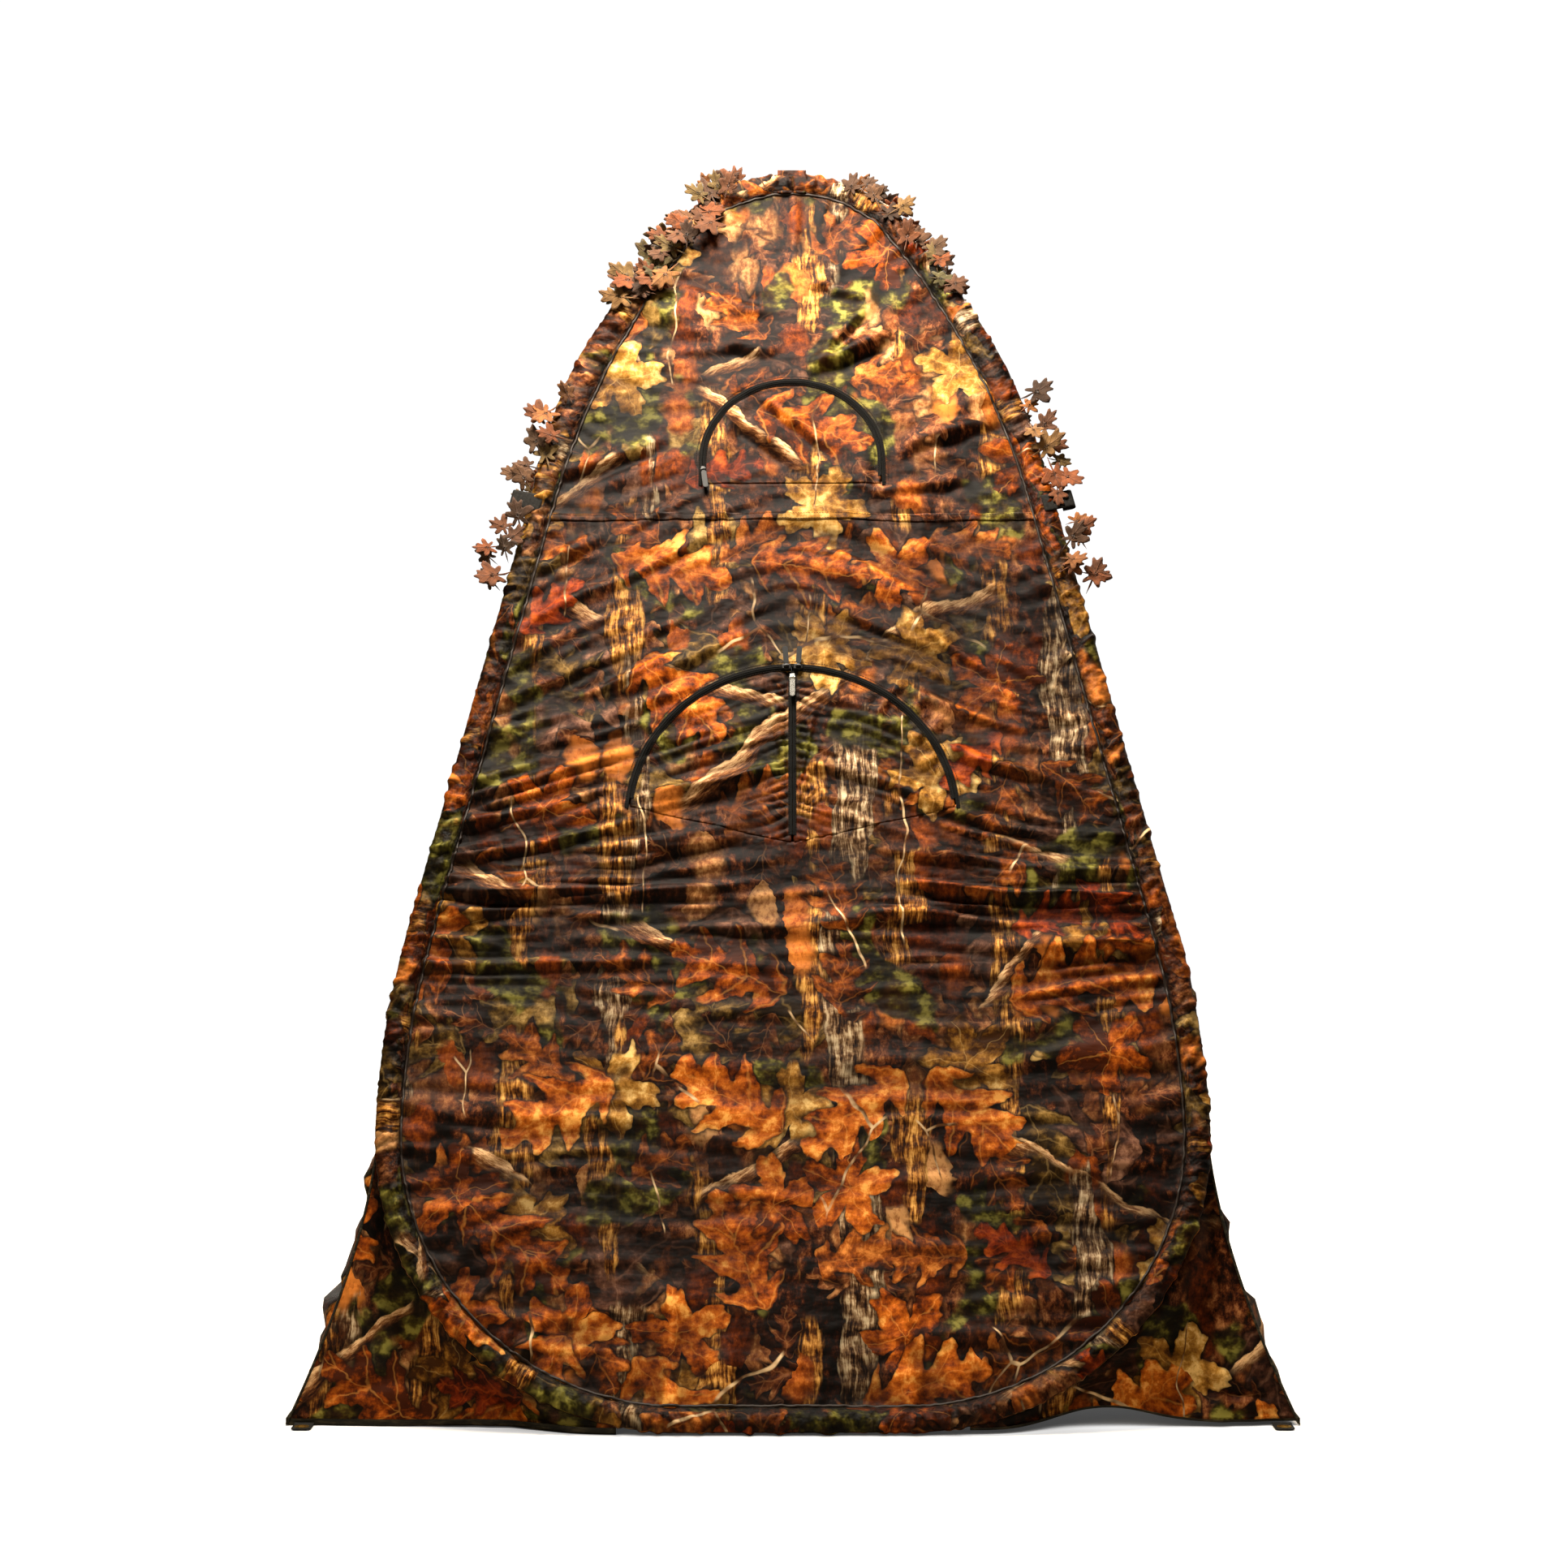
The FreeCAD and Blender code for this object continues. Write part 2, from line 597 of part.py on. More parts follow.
def make_peg_tabs():
    """Webbing tabs that lie on the ground in front of the two front corners."""
    tabs = []
    inner_y = gusset_y(TAB_X - TAB_HALF, 0.0) - CLEAR
    for side in (-1, 1):
        tab = block((TAB_X - TAB_HALF, inner_y - TAB_LENGTH, TAB_LOW), (TAB_X + TAB_HALF, inner_y, TAB_HIGH))
        far_edges = [e for e in tab.Edges if e.BoundBox.YMax < inner_y - CLEAR and e.BoundBox.ZLength > FABRIC]
        tab = tab.makeFillet(TAB_HALF / 2, far_edges)
        hole = Part.makeCylinder(GROMMET_BARREL + 0.2, TAB_HIGH, vec(TAB_X, peg_y(), 0))
        tab = tab.cut(hole)
        tabs.append(tab if side > 0 else other_side(tab))
    return Part.makeCompound(tabs)


def peg_y():
    return gusset_y(TAB_X - TAB_HALF, 0.0) - TAB_LENGTH / 2 - 3.0


def make_grommets():
    """Brass eyelets in the peg tabs."""
    rings = []
    flange = 0.7
    for side in (-1, 1):
        centre = vec(side * TAB_X, peg_y(), 0)
        ring = Part.makeCylinder(GROMMET_FLANGE, GROMMET_HIGH, centre)
        waist = Part.makeCylinder(GROMMET_FLANGE + 1, GROMMET_HIGH - 2 * flange, centre + vec(0, 0, flange))
        barrel = Part.makeCylinder(GROMMET_BARREL, GROMMET_HIGH, centre)
        ring = ring.cut(waist.cut(barrel)).cut(Part.makeCylinder(GROMMET_BORE, GROMMET_HIGH, centre))
        rings.append(ring.removeSplitter())
    return Part.makeCompound(rings)


def make_crown_strap():
    """Webbing saddle sewn to both sleeves over the crown; it is the cloth hinge of the two walls."""
    low = SLEEVE_HALF + 0.5
    top_s = HOOP_TOP + 2.0
    leg = to_front(block((-STRAP_HALF, HOOP_TOP - 50.0, low), (STRAP_HALF, top_s, low + FABRIC)))
    top_y = WALL_Y - top_s * SIN + (low + FABRIC) * COS
    top_z = WALL_Z + top_s * COS + (low + FABRIC) * SIN
    bridge = block((-STRAP_HALF, -top_y, top_z - FABRIC), (STRAP_HALF, top_y, top_z))
    return bridge.fuse([leg, turn_round(leg)]).removeSplitter()


# ---- the whole blind -----------------------------------------------------------------------------
def front_parts():
    panel = panel_sheet().cut(window_openings())
    parts = {
        "front_panel_upper": panel.common(band(SEAM_S + ZIP_GAP, FAR)),
        "front_panel_lower": panel.common(band(-FAR, SEAM_S - ZIP_GAP)),
        "front_seam_tape": make_seam_tape(),
        "front_sleeve": make_sleeve(),
        "front_hoop": make_hoop(),
        "front_hoop_ferrule": make_ferrule(),
        "upper_zip_tape": make_upper_tape(1),
        "lower_zip_tape": make_lower_wall_tape(),
        "upper_flap": make_upper_flap(),
        "upper_flap_tape": make_upper_tape(-1),
        "front_webbing_loops": Part.makeCompound([make_webbing_loop(-1), make_webbing_loop(1)]),
    }
    for name, side in (("left", -1), ("right", 1)):
        parts["lower_flap_" + name] = make_lower_flap(side)
        parts["lower_flap_" + name + "_tape"] = make_lower_flap_tape(side)
        parts["front_leaf_strip_" + name] = side_strip(side)
        parts["crown_leaf_strip_" + name] = crown_strip(side)
    return {name: to_front(shape) for name, shape in parts.items()}


def rear_parts():
    """The rear wall. Its own +w runs to the blind's left, so left and right swap over."""
    sheet = panel_sheet()
    lower = sheet.common(band(-FAR, SEAM_S - ZIP_GAP)).cut([door_opening(-1), door_opening(1)])
    parts = {
        "rear_panel_upper": sheet.common(band(SEAM_S + ZIP_GAP, FAR)),
        "rear_panel_lower": lower,
        "rear_seam_tape": make_seam_tape(),
        "rear_sleeve": make_sleeve(),
        "rear_hoop": make_hoop(),
        "rear_hoop_ferrule": make_ferrule(),
        "door_tape_ends": make_door_tape_ends(),
        "rear_webbing_loops": Part.makeCompound([make_webbing_loop(-1), make_webbing_loop(1)]),
    }
    for name, side in (("left", 1), ("right", -1)):
        parts["door_flap_" + name] = make_door_flap(side)
        parts["door_flap_" + name + "_tape"] = make_door_flap_tape(side)
        strips = side_strip(side).Solids + crown_strip(side).Solids
        parts["rear_leaf_strip_" + name] = Part.makeCompound(strips)
    return {name: to_rear(shape) for name, shape in parts.items()}


def zip_parts():
    parts = {}
    for name, place, nose, pull in slider_places():
        lean = to_rear if name == "door" else to_front
        parts[name + "_slider"] = lean(on_wall(make_slider(pull - nose), place, nose))
        parts[name + "_pull"] = lean(on_wall(make_pull(), place, pull))
    return parts


def ground_parts():
    gusset = make_gusset()
    hem = make_front_hem()
    wall = make_side_wall()
    side_hem = make_side_hem()
    return {
        "front_gusset_right": gusset,
        "front_gusset_left": other_side(gusset),
        "rear_gusset_left": turn_round(gusset),
        "rear_gusset_right": turn_round(other_side(gusset)),
        "front_hem": hem,
        "rear_hem": turn_round(hem),
        "side_wall_right": wall,
        "side_wall_left": other_side(wall),
        "side_hem_right": side_hem,
        "side_hem_left": other_side(side_hem),
        "front_peg_tabs": make_peg_tabs(),
        "rear_peg_tabs": turn_round(make_peg_tabs()),
        "front_grommets": make_grommets(),
        "rear_grommets": turn_round(make_grommets()),
        "crown_strap": make_crown_strap(),
    }


os.makedirs("parts", exist_ok=True)
for group in (front_parts(), rear_parts(), zip_parts(), ground_parts()):
    for node, shape in group.items():
        solids = shape.Solids
        result = solids[0] if len(solids) == 1 else Part.makeCompound(solids)
        result.exportStep("parts/" + node + ".step")
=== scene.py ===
"""Looks of the pop up ground blind: wrinkled cloth, sleeves, zips, leaf strips, print and light.

Metres, in the frame's own axes. A wall is worked out flat, in its wall frame, and then leaned: w runs
to the right, s runs up the slope and n points out of the blind. The rear wall is the front wall's
frame turned half a turn about Z.
"""
import bpy
import math
import numpy as np
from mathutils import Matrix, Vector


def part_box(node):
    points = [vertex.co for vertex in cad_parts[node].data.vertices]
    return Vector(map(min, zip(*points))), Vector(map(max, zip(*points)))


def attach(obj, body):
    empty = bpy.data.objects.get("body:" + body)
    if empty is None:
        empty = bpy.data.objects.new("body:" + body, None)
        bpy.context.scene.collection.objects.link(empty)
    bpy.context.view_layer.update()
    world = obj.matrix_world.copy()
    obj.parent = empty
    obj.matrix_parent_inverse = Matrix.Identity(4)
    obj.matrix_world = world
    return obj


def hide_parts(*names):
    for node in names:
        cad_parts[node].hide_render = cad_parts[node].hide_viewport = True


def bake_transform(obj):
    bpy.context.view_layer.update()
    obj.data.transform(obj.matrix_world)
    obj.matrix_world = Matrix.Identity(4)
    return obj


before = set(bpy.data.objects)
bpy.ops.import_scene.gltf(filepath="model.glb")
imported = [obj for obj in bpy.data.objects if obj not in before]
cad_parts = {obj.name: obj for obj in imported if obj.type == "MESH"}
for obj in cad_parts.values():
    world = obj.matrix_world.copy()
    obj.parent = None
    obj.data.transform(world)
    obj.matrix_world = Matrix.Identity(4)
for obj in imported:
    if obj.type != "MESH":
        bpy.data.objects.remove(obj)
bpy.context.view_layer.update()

# ---- the part's own dimensions --------------------------------------------------------------
HOOP_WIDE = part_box("front_sleeve")[1].x
BASE_HALF, CORNER_Y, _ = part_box("side_hem_right")[1]
LEAN = math.radians(23.0)
SIN, COS = math.sin(LEAN), math.cos(LEAN)
SLEEVE_HALF = 0.007
CROWN_HALF_GAP = 0.009
CROWN_MEETS_S = 1.790
WALL_Z = SLEEVE_HALF * SIN
WALL_Y = CROWN_MEETS_S * SIN + CROWN_HALF_GAP * COS

CORNER_RADIUS = 0.388
SIDE_RADIUS = 1.2
CROWN_RADIUS = 0.2
HOOP_TOP = 1.793
SIDE_TURN = math.radians(12.7)
SHOULDER_TURN = math.radians(35.0)
SLEEVE_WIDTH = 0.032
PANEL_EDGE = 0.026

HEM_INNER = 0.215
GUSSET_INNER_W = 0.137
GUSSET_INNER_Y = 0.676
FLARE_TOP = CORNER_RADIUS * COS
FLARE_POWER = 1.6
SIDE_INSET = 0.004
HEM_HEIGHT = 0.0094

SEAM_S = 1.248
UPPER_CENTRE_S = 1.334
UPPER_RADIUS = 0.122
UPPER_FOLD_S = 1.301
LOWER_CENTRE_S = 0.809
LOWER_RADIUS = 0.214
LOWER_FOLD_END_S = 0.825
LOWER_FOLD_MID_S = 0.775
DOOR_TOP_S = 1.210
DOOR_BASE_S = 0.100
DOOR_HALF = 0.290
DOOR_PARK = 0.026
UPPER_PARK_TURN = math.radians(188)
CENTRE_PARK_S = 1.006
FABRIC_BACK = 0.0015
FOLD_LAP = 0.0016
FLAP_LAP = 0.0026
FLAP_RISE = 0.0004
TAPE_WIDTH = 0.0053
TAPE_OFF_FOLD = 0.008

FRONT_STEP = 0.0042
FLAP_STEP = 0.0024
REAR_STEP = 0.0075
CLOTH_THICK = 0.0006
RIB_PITCH = 0.0125
ZIP_CALM = (0.002, 0.012)
SLEEVE_CALM = (0.024, 0.040)
FACING = (("left", -1), ("right", 1))


# ---- small numeric tools ----------------------------------------------------------------------
def noise(x, y, seed):
    """Smooth gradient noise, about -0.7 to 0.7, one bump or dip a unit."""
    rng = np.random.default_rng(seed)
    turns = rng.random(256) * 2 * np.pi
    order = rng.permutation(256)
    x, y = np.broadcast_arrays(np.asarray(x, float), np.asarray(y, float))
    xi, yi = np.floor(x).astype(int), np.floor(y).astype(int)
    xf, yf = x - xi, y - yi

    def corner(dx, dy):
        turn = turns[order[(order[(xi + dx) & 255] + yi + dy) & 255]]
        return np.cos(turn) * (xf - dx) + np.sin(turn) * (yf - dy)

    across = xf ** 3 * (xf * (xf * 6 - 15) + 10)
    up = yf ** 3 * (yf * (yf * 6 - 15) + 10)
    low = corner(0, 0) * (1 - across) + corner(1, 0) * across
    high = corner(0, 1) * (1 - across) + corner(1, 1) * across
    return low * (1 - up) + high * up


def ripple(x, y, seed):
    """Noise with rounded tops and narrow valleys, about -0.5 to 0.5, as cloth gathers."""
    value = noise(x, y, seed)
    return 0.55 * value + 0.9 * (np.sqrt(value ** 2 + 0.004) - 0.22)


def stack(*rows):
    """Numbers or arrays side by side along a new last axis."""
    return np.stack(np.broadcast_arrays(*rows), axis=-1)


def bell(distance, width):
    return np.exp(-(distance / width) ** 2)


def smooth(value, low, high):
    share = np.clip((value - low) / (high - low), 0.0, 1.0)
    return share * share * (3 - 2 * share)


# ---- wall frames and the hoop outline ------------------------------------------------------------
def front_place(w, s, n):
    return stack(w, -WALL_Y + s * SIN - n * COS, WALL_Z + s * COS + n * SIN)


def rear_place(w, s, n):
    return front_place(w, s, n) * np.array([-1.0, -1.0, 1.0])


def heading(turn):
    return np.array([math.cos(turn), math.sin(turn)])


def outline_pieces():
    """The right half of the hoop outline as straights and arcs, from the foot's middle to the crown."""
    corner = np.array([HOOP_WIDE - CORNER_RADIUS, CORNER_RADIUS])
    side = np.array([HOOP_WIDE - SIDE_RADIUS, CORNER_RADIUS])
    crown = np.array([0.0, HOOP_TOP - CROWN_RADIUS])
    across = heading(SIDE_TURN)
    fall = math.cos(SHOULDER_TURN - SIDE_TURN)
    reach = side @ across + SIDE_RADIUS
    shoulder_radius = (reach - crown @ across - CROWN_RADIUS * fall) / (1.0 - fall)
    shoulder = crown + (CROWN_RADIUS - shoulder_radius) * heading(SHOULDER_TURN)
    arcs = [
        (corner, CORNER_RADIUS, -math.pi / 2, 0.0),
        (side, SIDE_RADIUS, 0.0, SIDE_TURN),
        (shoulder, shoulder_radius, SIDE_TURN, SHOULDER_TURN),
        (crown, CROWN_RADIUS, SHOULDER_TURN, math.pi / 2),
    ]
    pieces = []
    last = np.array([0.0, 0.0])
    station = 0.0
    for centre, radius, start, end in arcs:
        first = centre + radius * heading(start)
        gap = float(np.linalg.norm(first - last))
        if gap > 0.0005:
            pieces.append({"from": last, "to": first, "station": station, "length": gap, "turn": start})
            station += gap
        arc = {"centre": centre, "radius": radius, "station": station, "length": radius * (end - start)}
        pieces.append({**arc, "turn": start})
        station += arc["length"]
        last = centre + radius * heading(end)
    return pieces


OUTLINE = outline_pieces()
HALF_LENGTH = OUTLINE[-1]["station"] + OUTLINE[-1]["length"]
SIDE_STATION = OUTLINE[2]["station"]


def outline(station, inset=0.0):
    """Place and outward direction on the hoop outline: 0 is the foot's middle, + is right, - is left."""
    station = np.asarray(station, float)
    along = np.clip(np.abs(station), 0.0, HALF_LENGTH)
    side = np.where(station < 0, -1.0, 1.0)
    w, s, turn = np.zeros_like(along), np.zeros_like(along), np.zeros_like(along)
    for piece in OUTLINE:
        here = (along >= piece["station"]) & (along <= piece["station"] + piece["length"] + 1e-9)
        past = along[here] - piece["station"]
        if "centre" in piece:
            angle = piece["turn"] + past / piece["radius"]
            turn[here] = angle
            w[here] = piece["centre"][0] + piece["radius"] * np.cos(angle)
            s[here] = piece["centre"][1] + piece["radius"] * np.sin(angle)
        else:
            share = past / piece["length"]
            turn[here] = piece["turn"]
            w[here] = piece["from"][0] + (piece["to"][0] - piece["from"][0]) * share
            s[here] = piece["from"][1] + (piece["to"][1] - piece["from"][1]) * share
    out_w, out_s = np.cos(turn), np.sin(turn)
    return side * (w - inset * out_w), s - inset * out_s, side * out_w, out_s


def edge_place(w, s):
    """How far inside the hoop outline each point is, and the station it is nearest to."""
    right = np.abs(w)
    depth = np.full(np.shape(right), 9.0)
    station = np.zeros(np.shape(right))
    for piece in OUTLINE:
        if "centre" in piece:
            x, y = right - piece["centre"][0], s - piece["centre"][1]
            past = (np.arctan2(y, x) - piece["turn"]) * piece["radius"]
            candidate = piece["radius"] - np.hypot(x, y)
        else:
            x, y = right - piece["from"][0], s - piece["from"][1]
            out = (math.cos(piece["turn"]), math.sin(piece["turn"]))
            past = -x * out[1] + y * out[0]
            candidate = -(x * out[0] + y * out[1])
        inside = (past >= -0.001) & (past <= piece["length"] + 0.001) & (candidate < depth)
        depth = np.where(inside, candidate, depth)
        station = np.where(inside, piece["station"] + past, station)
    return depth, np.where(w < 0, -station, station)


# ---- window and door outlines, as distances in from their edges -----------------------------------
def in_arch(w, s, centre, radius):
    return radius - np.where(s > centre, np.hypot(w, s - centre), np.abs(w))


def left_of(w, s, start, end):
    """Distance to the left of the line from start to end."""
    along = np.array(end) - np.array(start)
    along = along / np.linalg.norm(along)
    return along[0] * (s - start[1]) - along[1] * (w - start[0])


def lower_fold(side):
    reach = math.sqrt(LOWER_RADIUS ** 2 - (LOWER_FOLD_END_S - LOWER_CENTRE_S) ** 2)
    outer = (side * reach, LOWER_FOLD_END_S)
    middle = (0.0, LOWER_FOLD_MID_S)
    return (middle, outer) if side > 0 else (outer, middle)


def door_fold(side):
    top = (0.0, DOOR_TOP_S)
    foot = (side * DOOR_HALF, DOOR_BASE_S)
    return (foot, top) if side > 0 else (top, foot)


def in_upper_window(w, s, grow):
    return np.minimum(in_arch(w, s, UPPER_CENTRE_S, UPPER_RADIUS + grow), s - UPPER_FOLD_S + FOLD_LAP)


def in_lower_window(w, s, grow):
    folds = np.maximum(
        np.minimum(left_of(w, s, *lower_fold(1)), w + 0.001),
        np.minimum(left_of(w, s, *lower_fold(-1)), 0.001 - w),
    )
    return np.minimum(in_arch(w, s, LOWER_CENTRE_S, LOWER_RADIUS + grow), folds + FOLD_LAP)


def in_upper_flap(w, s):
    return np.minimum(in_arch(w, s, UPPER_CENTRE_S, UPPER_RADIUS - FABRIC_BACK), s - UPPER_FOLD_S + FLAP_LAP)


def in_lower_flap(w, s, side):
    arch = in_arch(w, s, LOWER_CENTRE_S, LOWER_RADIUS - FABRIC_BACK)
    fold = left_of(w, s, *lower_fold(side)) + FLAP_LAP
    return np.minimum(np.minimum(arch, fold), side * w - FABRIC_BACK)


def in_door_flap(w, s, side, gap=FABRIC_BACK):
    fold = left_of(w, s, *door_fold(side)) + FOLD_LAP
    return np.minimum(np.minimum(fold, s - DOOR_BASE_S + FOLD_LAP), side * w - gap)


def in_hoop(w, s):
    return edge_place(w, s)[0]


def in_panel(w, s):
    return in_hoop(w, s) - PANEL_EDGE


# ---- how the cloth lies ----------------------------------------------------------------------------
SLIDER_SPOTS = [
    np.array([0.0, UPPER_CENTRE_S]) + UPPER_RADIUS * heading(UPPER_PARK_TURN),
    (0.0, LOWER_CENTRE_S + LOWER_RADIUS),
    (0.0, CENTRE_PARK_S),
]
SLIDER_REST = 0.016


def zip_distance(w, s):
    """Distance to the nearest zip line in the front wall."""
    upper = np.abs(in_arch(w, s, UPPER_CENTRE_S, UPPER_RADIUS)) + np.maximum(UPPER_FOLD_S - s, 0) * 2
    lower = np.abs(in_arch(w, s, LOWER_CENTRE_S, LOWER_RADIUS)) + np.maximum(LOWER_FOLD_END_S - s, 0) * 2
    past_ends = np.maximum(s - LOWER_CENTRE_S - LOWER_RADIUS, 0) + np.maximum(LOWER_FOLD_MID_S - s, 0)
    return np.minimum(np.minimum(upper, lower), np.abs(w) + past_ends)


def crease(w, s, start, end, width, height):
    """One sharp fold between two points: a rounded ridge with a narrow dip under it."""
    a, b = np.array(start), np.array(end)
    along = (b - a) / np.linalg.norm(b - a)
    past = ((w - a[0]) * along[0] + (s - a[1]) * along[1]) / np.linalg.norm(b - a)
    off = (s - a[1]) * along[0] - (w - a[0]) * along[1]
    off = off + 0.012 * noise(past * 3.0, 0.5, 71)
    shape = bell(off, width) - 0.7 * bell(off + width * 1.2, width * 0.7)
    return height * shape * smooth(past, 0.0, 0.3) * (1 - smooth(past, 0.7, 1.0))


# start and end, width, height
CREASES = [
    ((0.000, 1.466), (0.150, 1.535), 0.013, 0.0120),
    ((0.030, 1.492), (0.125, 1.590), 0.010, 0.0070),
    ((-0.130, 1.450), (0.030, 1.310), 0.014, 0.0080),
    ((-0.080, 1.470), (0.075, 1.330), 0.011, 0.0065),
    ((-0.360, 1.300), (-0.150, 1.370), 0.013, 0.0070),
    ((0.130, 1.350), (0.310, 1.405), 0.012, 0.0070),
    ((0.090, 1.285), (0.250, 1.305), 0.010, 0.0055),
    ((-0.020, 1.560), (-0.180, 1.615), 0.012, 0.0050),
    ((-0.100, 1.520), (-0.010, 1.500), 0.012, 0.0060),
    ((0.020, 1.620), (0.120, 1.580), 0.011, 0.0040),
]


FOLD_SLOPE = ((0.0, 0.0), (0.35, 0.0), (0.55, -0.10), (0.68, 0.02), (0.80, 0.34), (1.0, 0.55), (1.2, 0.50),
              (1.5, 0.15))
FOLD_STRENGTH = ((0.0, 0.28), (0.25, 0.40), (0.5, 0.66), (0.7, 1.1), (1.1, 1.1), (1.22, 0.85), (1.32, 0.42),
                 (1.8, 0.34))


def fan_folds(w, s):
    """The long folds that fan out from the lower window to the hoop."""
    slope = np.interp(s, *zip(*FOLD_SLOPE))
    side = np.sqrt(w ** 2 + 0.0025)
    level = s + slope * side + 0.020 * noise(w / 0.19, s / 0.15, 5)
    long_folds = ripple(w / 0.26 + 3.1, level / 0.034, 11)
    short_folds = ripple(w / 0.12, level / 0.019, 12)
    outer = 0.5 + 0.5 * smooth(np.abs(w), 0.05, 0.26)
    strength = np.interp(s, *zip(*FOLD_STRENGTH))
    patch = 0.75 + 0.7 * noise(w / 0.22, s / 0.2, 13)
    return outer * strength * patch * (0.0230 * long_folds + 0.0125 * short_folds)


def gathers(w, s, seed):
    """Short folds that run in from the sleeve's seam and the slow belly of the panel."""
    depth, station = edge_place(w, s)
    in_from_seam = np.maximum(depth - SLEEVE_WIDTH, 0.0)
    short = ripple(station / 0.019, depth / 0.09, seed) * np.exp(-in_from_seam / 0.035)
    long = ripple(station / 0.042, depth / 0.20, seed + 1) * np.exp(-in_from_seam / 0.10)
    return 0.0085 * short + 0.0110 * long


def crumple(w, s, seed):
    fine = noise(w / 0.016, s / 0.011, seed) + 0.6 * noise(w / 0.008, s / 0.007, seed + 1)
    return 0.0010 * fine * (0.5 + noise(w / 0.12, s / 0.12, seed + 2))


def zip_ribs(w, s):
    """The short ribs that the stitching of the upright zip pulls into the cloth on both sides of it."""
    drift = 2.6 * noise(3.1 * np.sign(w) + w / 0.06, s / 0.030, 41)
    rib = np.abs(np.sin(np.pi * (s + 0.35 * np.abs(w)) / RIB_PITCH + drift))
    return (rib - 0.62) * (0.7 + noise(w / 0.03, s / 0.018, 44))


def front_height(w, s):
    """How far the front wall's cloth stands out of the wall plane."""
    zip_off = zip_distance(w, s)
    body = fan_folds(w, s) + gathers(w, s, 21) + crumple(w, s, 31)
    body = body + 0.0045 * noise(w / 0.30, s / 0.24, 14) + 0.0030 * noise(w / 0.09 + s / 0.2, s / 0.07, 15)
    for spec in CREASES:
        body = body + crease(w, s, *spec)
    body = body * (0.22 + 0.78 * smooth(zip_off, 0.006, 0.050))
    beside = np.exp(-np.abs(w) / 0.027) * smooth(s, 0.76, 0.79) * (1 - smooth(s, 1.0, 1.03))
    around = ripple(np.arctan2(w, s - LOWER_CENTRE_S) / 0.085, zip_off / 0.06, 42)
    window = (1 - smooth(zip_off, 0.008, 0.05)) * smooth(s, 0.80, 0.84)
    pucker = 0.0080 * zip_ribs(w, s) * beside + 0.0075 * around * window
    seam_off = np.abs(s - SEAM_S)
    pucker += 0.0060 * ripple(w / 0.021, (s - SEAM_S) / 0.09, 43) * np.exp(-seam_off / 0.022)
    body = body + pucker * smooth(zip_off, *ZIP_CALM)
    for spot in SLIDER_SPOTS:
        body = body * (1 - bell(np.hypot(w - spot[0], s - spot[1]), SLIDER_REST))
    return body * smooth(in_hoop(w, s), *SLEEVE_CALM)


def rear_height(w, s):
    """How far the rear wall's cloth stands out of its wall plane."""
    past_ends = np.maximum(s - DOOR_TOP_S - DOOR_PARK, 0) + np.maximum(DOOR_BASE_S - DOOR_PARK - s, 0)
    zip_off = np.abs(w) + past_ends
    level = s + 0.14 * np.abs(w) + 0.02 * noise(w / 0.2, s / 0.15, 55)
    folds = 0.0190 * ripple(w / 0.28, level / 0.040, 51) + 0.0070 * ripple(w / 0.12, level / 0.022, 52)
    folds = folds * (0.45 + 0.55 * smooth(np.abs(w), 0.03, 0.2)) * (0.8 + 0.6 * noise(w / 0.25, s / 0.2, 53))
    body = folds + gathers(w, s, 61) + crumple(w, s, 65) + 0.004 * noise(w / 0.3, s / 0.26, 54)
    body = body * (0.3 + 0.7 * smooth(zip_off, 0.006, 0.045))
    slant = ripple((s + 0.5 * np.abs(w)) / 0.021, np.abs(w) / 0.08, 56) * np.exp(-zip_off / 0.035)
    seam = ripple(w / 0.022, s / 0.09, 57) * np.exp(-np.abs(s - SEAM_S) / 0.022)
    body = body + (0.0055 * slant + 0.0045 * seam) * smooth(zip_off, *ZIP_CALM)
    body = body * (1 - bell(np.hypot(w, s - DOOR_BASE_S + 0.014), 0.018))
    return body * smooth(in_hoop(w, s), *SLEEVE_CALM)


def front_cloth(w, s, n=0.0):
    return front_place(w, s, n + front_height(w, s))


def rear_cloth(w, s, n=0.0):
    return rear_place(w, s, n + rear_height(w, s))


def painted_cloth_shade(w, s, height):
    """Painted shade: darker in the valleys of the folds, and a painted shadow along the seams."""
    depth = in_hoop(w, s) - SLEEVE_WIDTH
    valley_shade = 0.72 * smooth(-height, -0.0022, 0.0042)
    seam = 0.55 * np.exp(-np.maximum(depth, 0.0) / 0.007)
    return np.clip(1 - (1 - valley_shade) * (1 - seam), 0.0, 0.9)


# ---- meshes -------------------------------------------------------------------------------------------
def build(name, points, faces, uv=None, flat=False, thick=0.0, shade=None):
    """A mesh object from arrays. uv is one pair of metres a vertex, shade the painted shade of each vertex in
    its folds and seams, and thick adds a solidify modifier."""
    mesh = bpy.data.meshes.new(name)
    mesh.from_pydata(np.asarray(points, float).reshape(-1, 3).tolist(), [], [list(f) for f in faces])
    if uv is not None:
        corner = np.zeros(len(mesh.loops), np.int32)
        mesh.loops.foreach_get("vertex_index", corner)
        layer = mesh.uv_layers.new(name="UVMap")
        layer.data.foreach_set("uv", np.asarray(uv, np.float32).reshape(-1, 2)[corner].ravel())
    if shade is not None:
        layer = mesh.attributes.new("shade", "FLOAT", "POINT")
        layer.data.foreach_set("value", np.asarray(shade, np.float32).ravel())
    if not flat:
        mesh.polygons.foreach_set("use_smooth", [True] * len(mesh.polygons))
    mesh.update()
    piece = bpy.data.objects.new(name, mesh)
    bpy.context.scene.collection.objects.link(piece)
    if thick:
        solid = piece.modifiers.new("thickness", "SOLIDIFY")
        solid.thickness = thick
        solid.offset = 0.0
    return piece


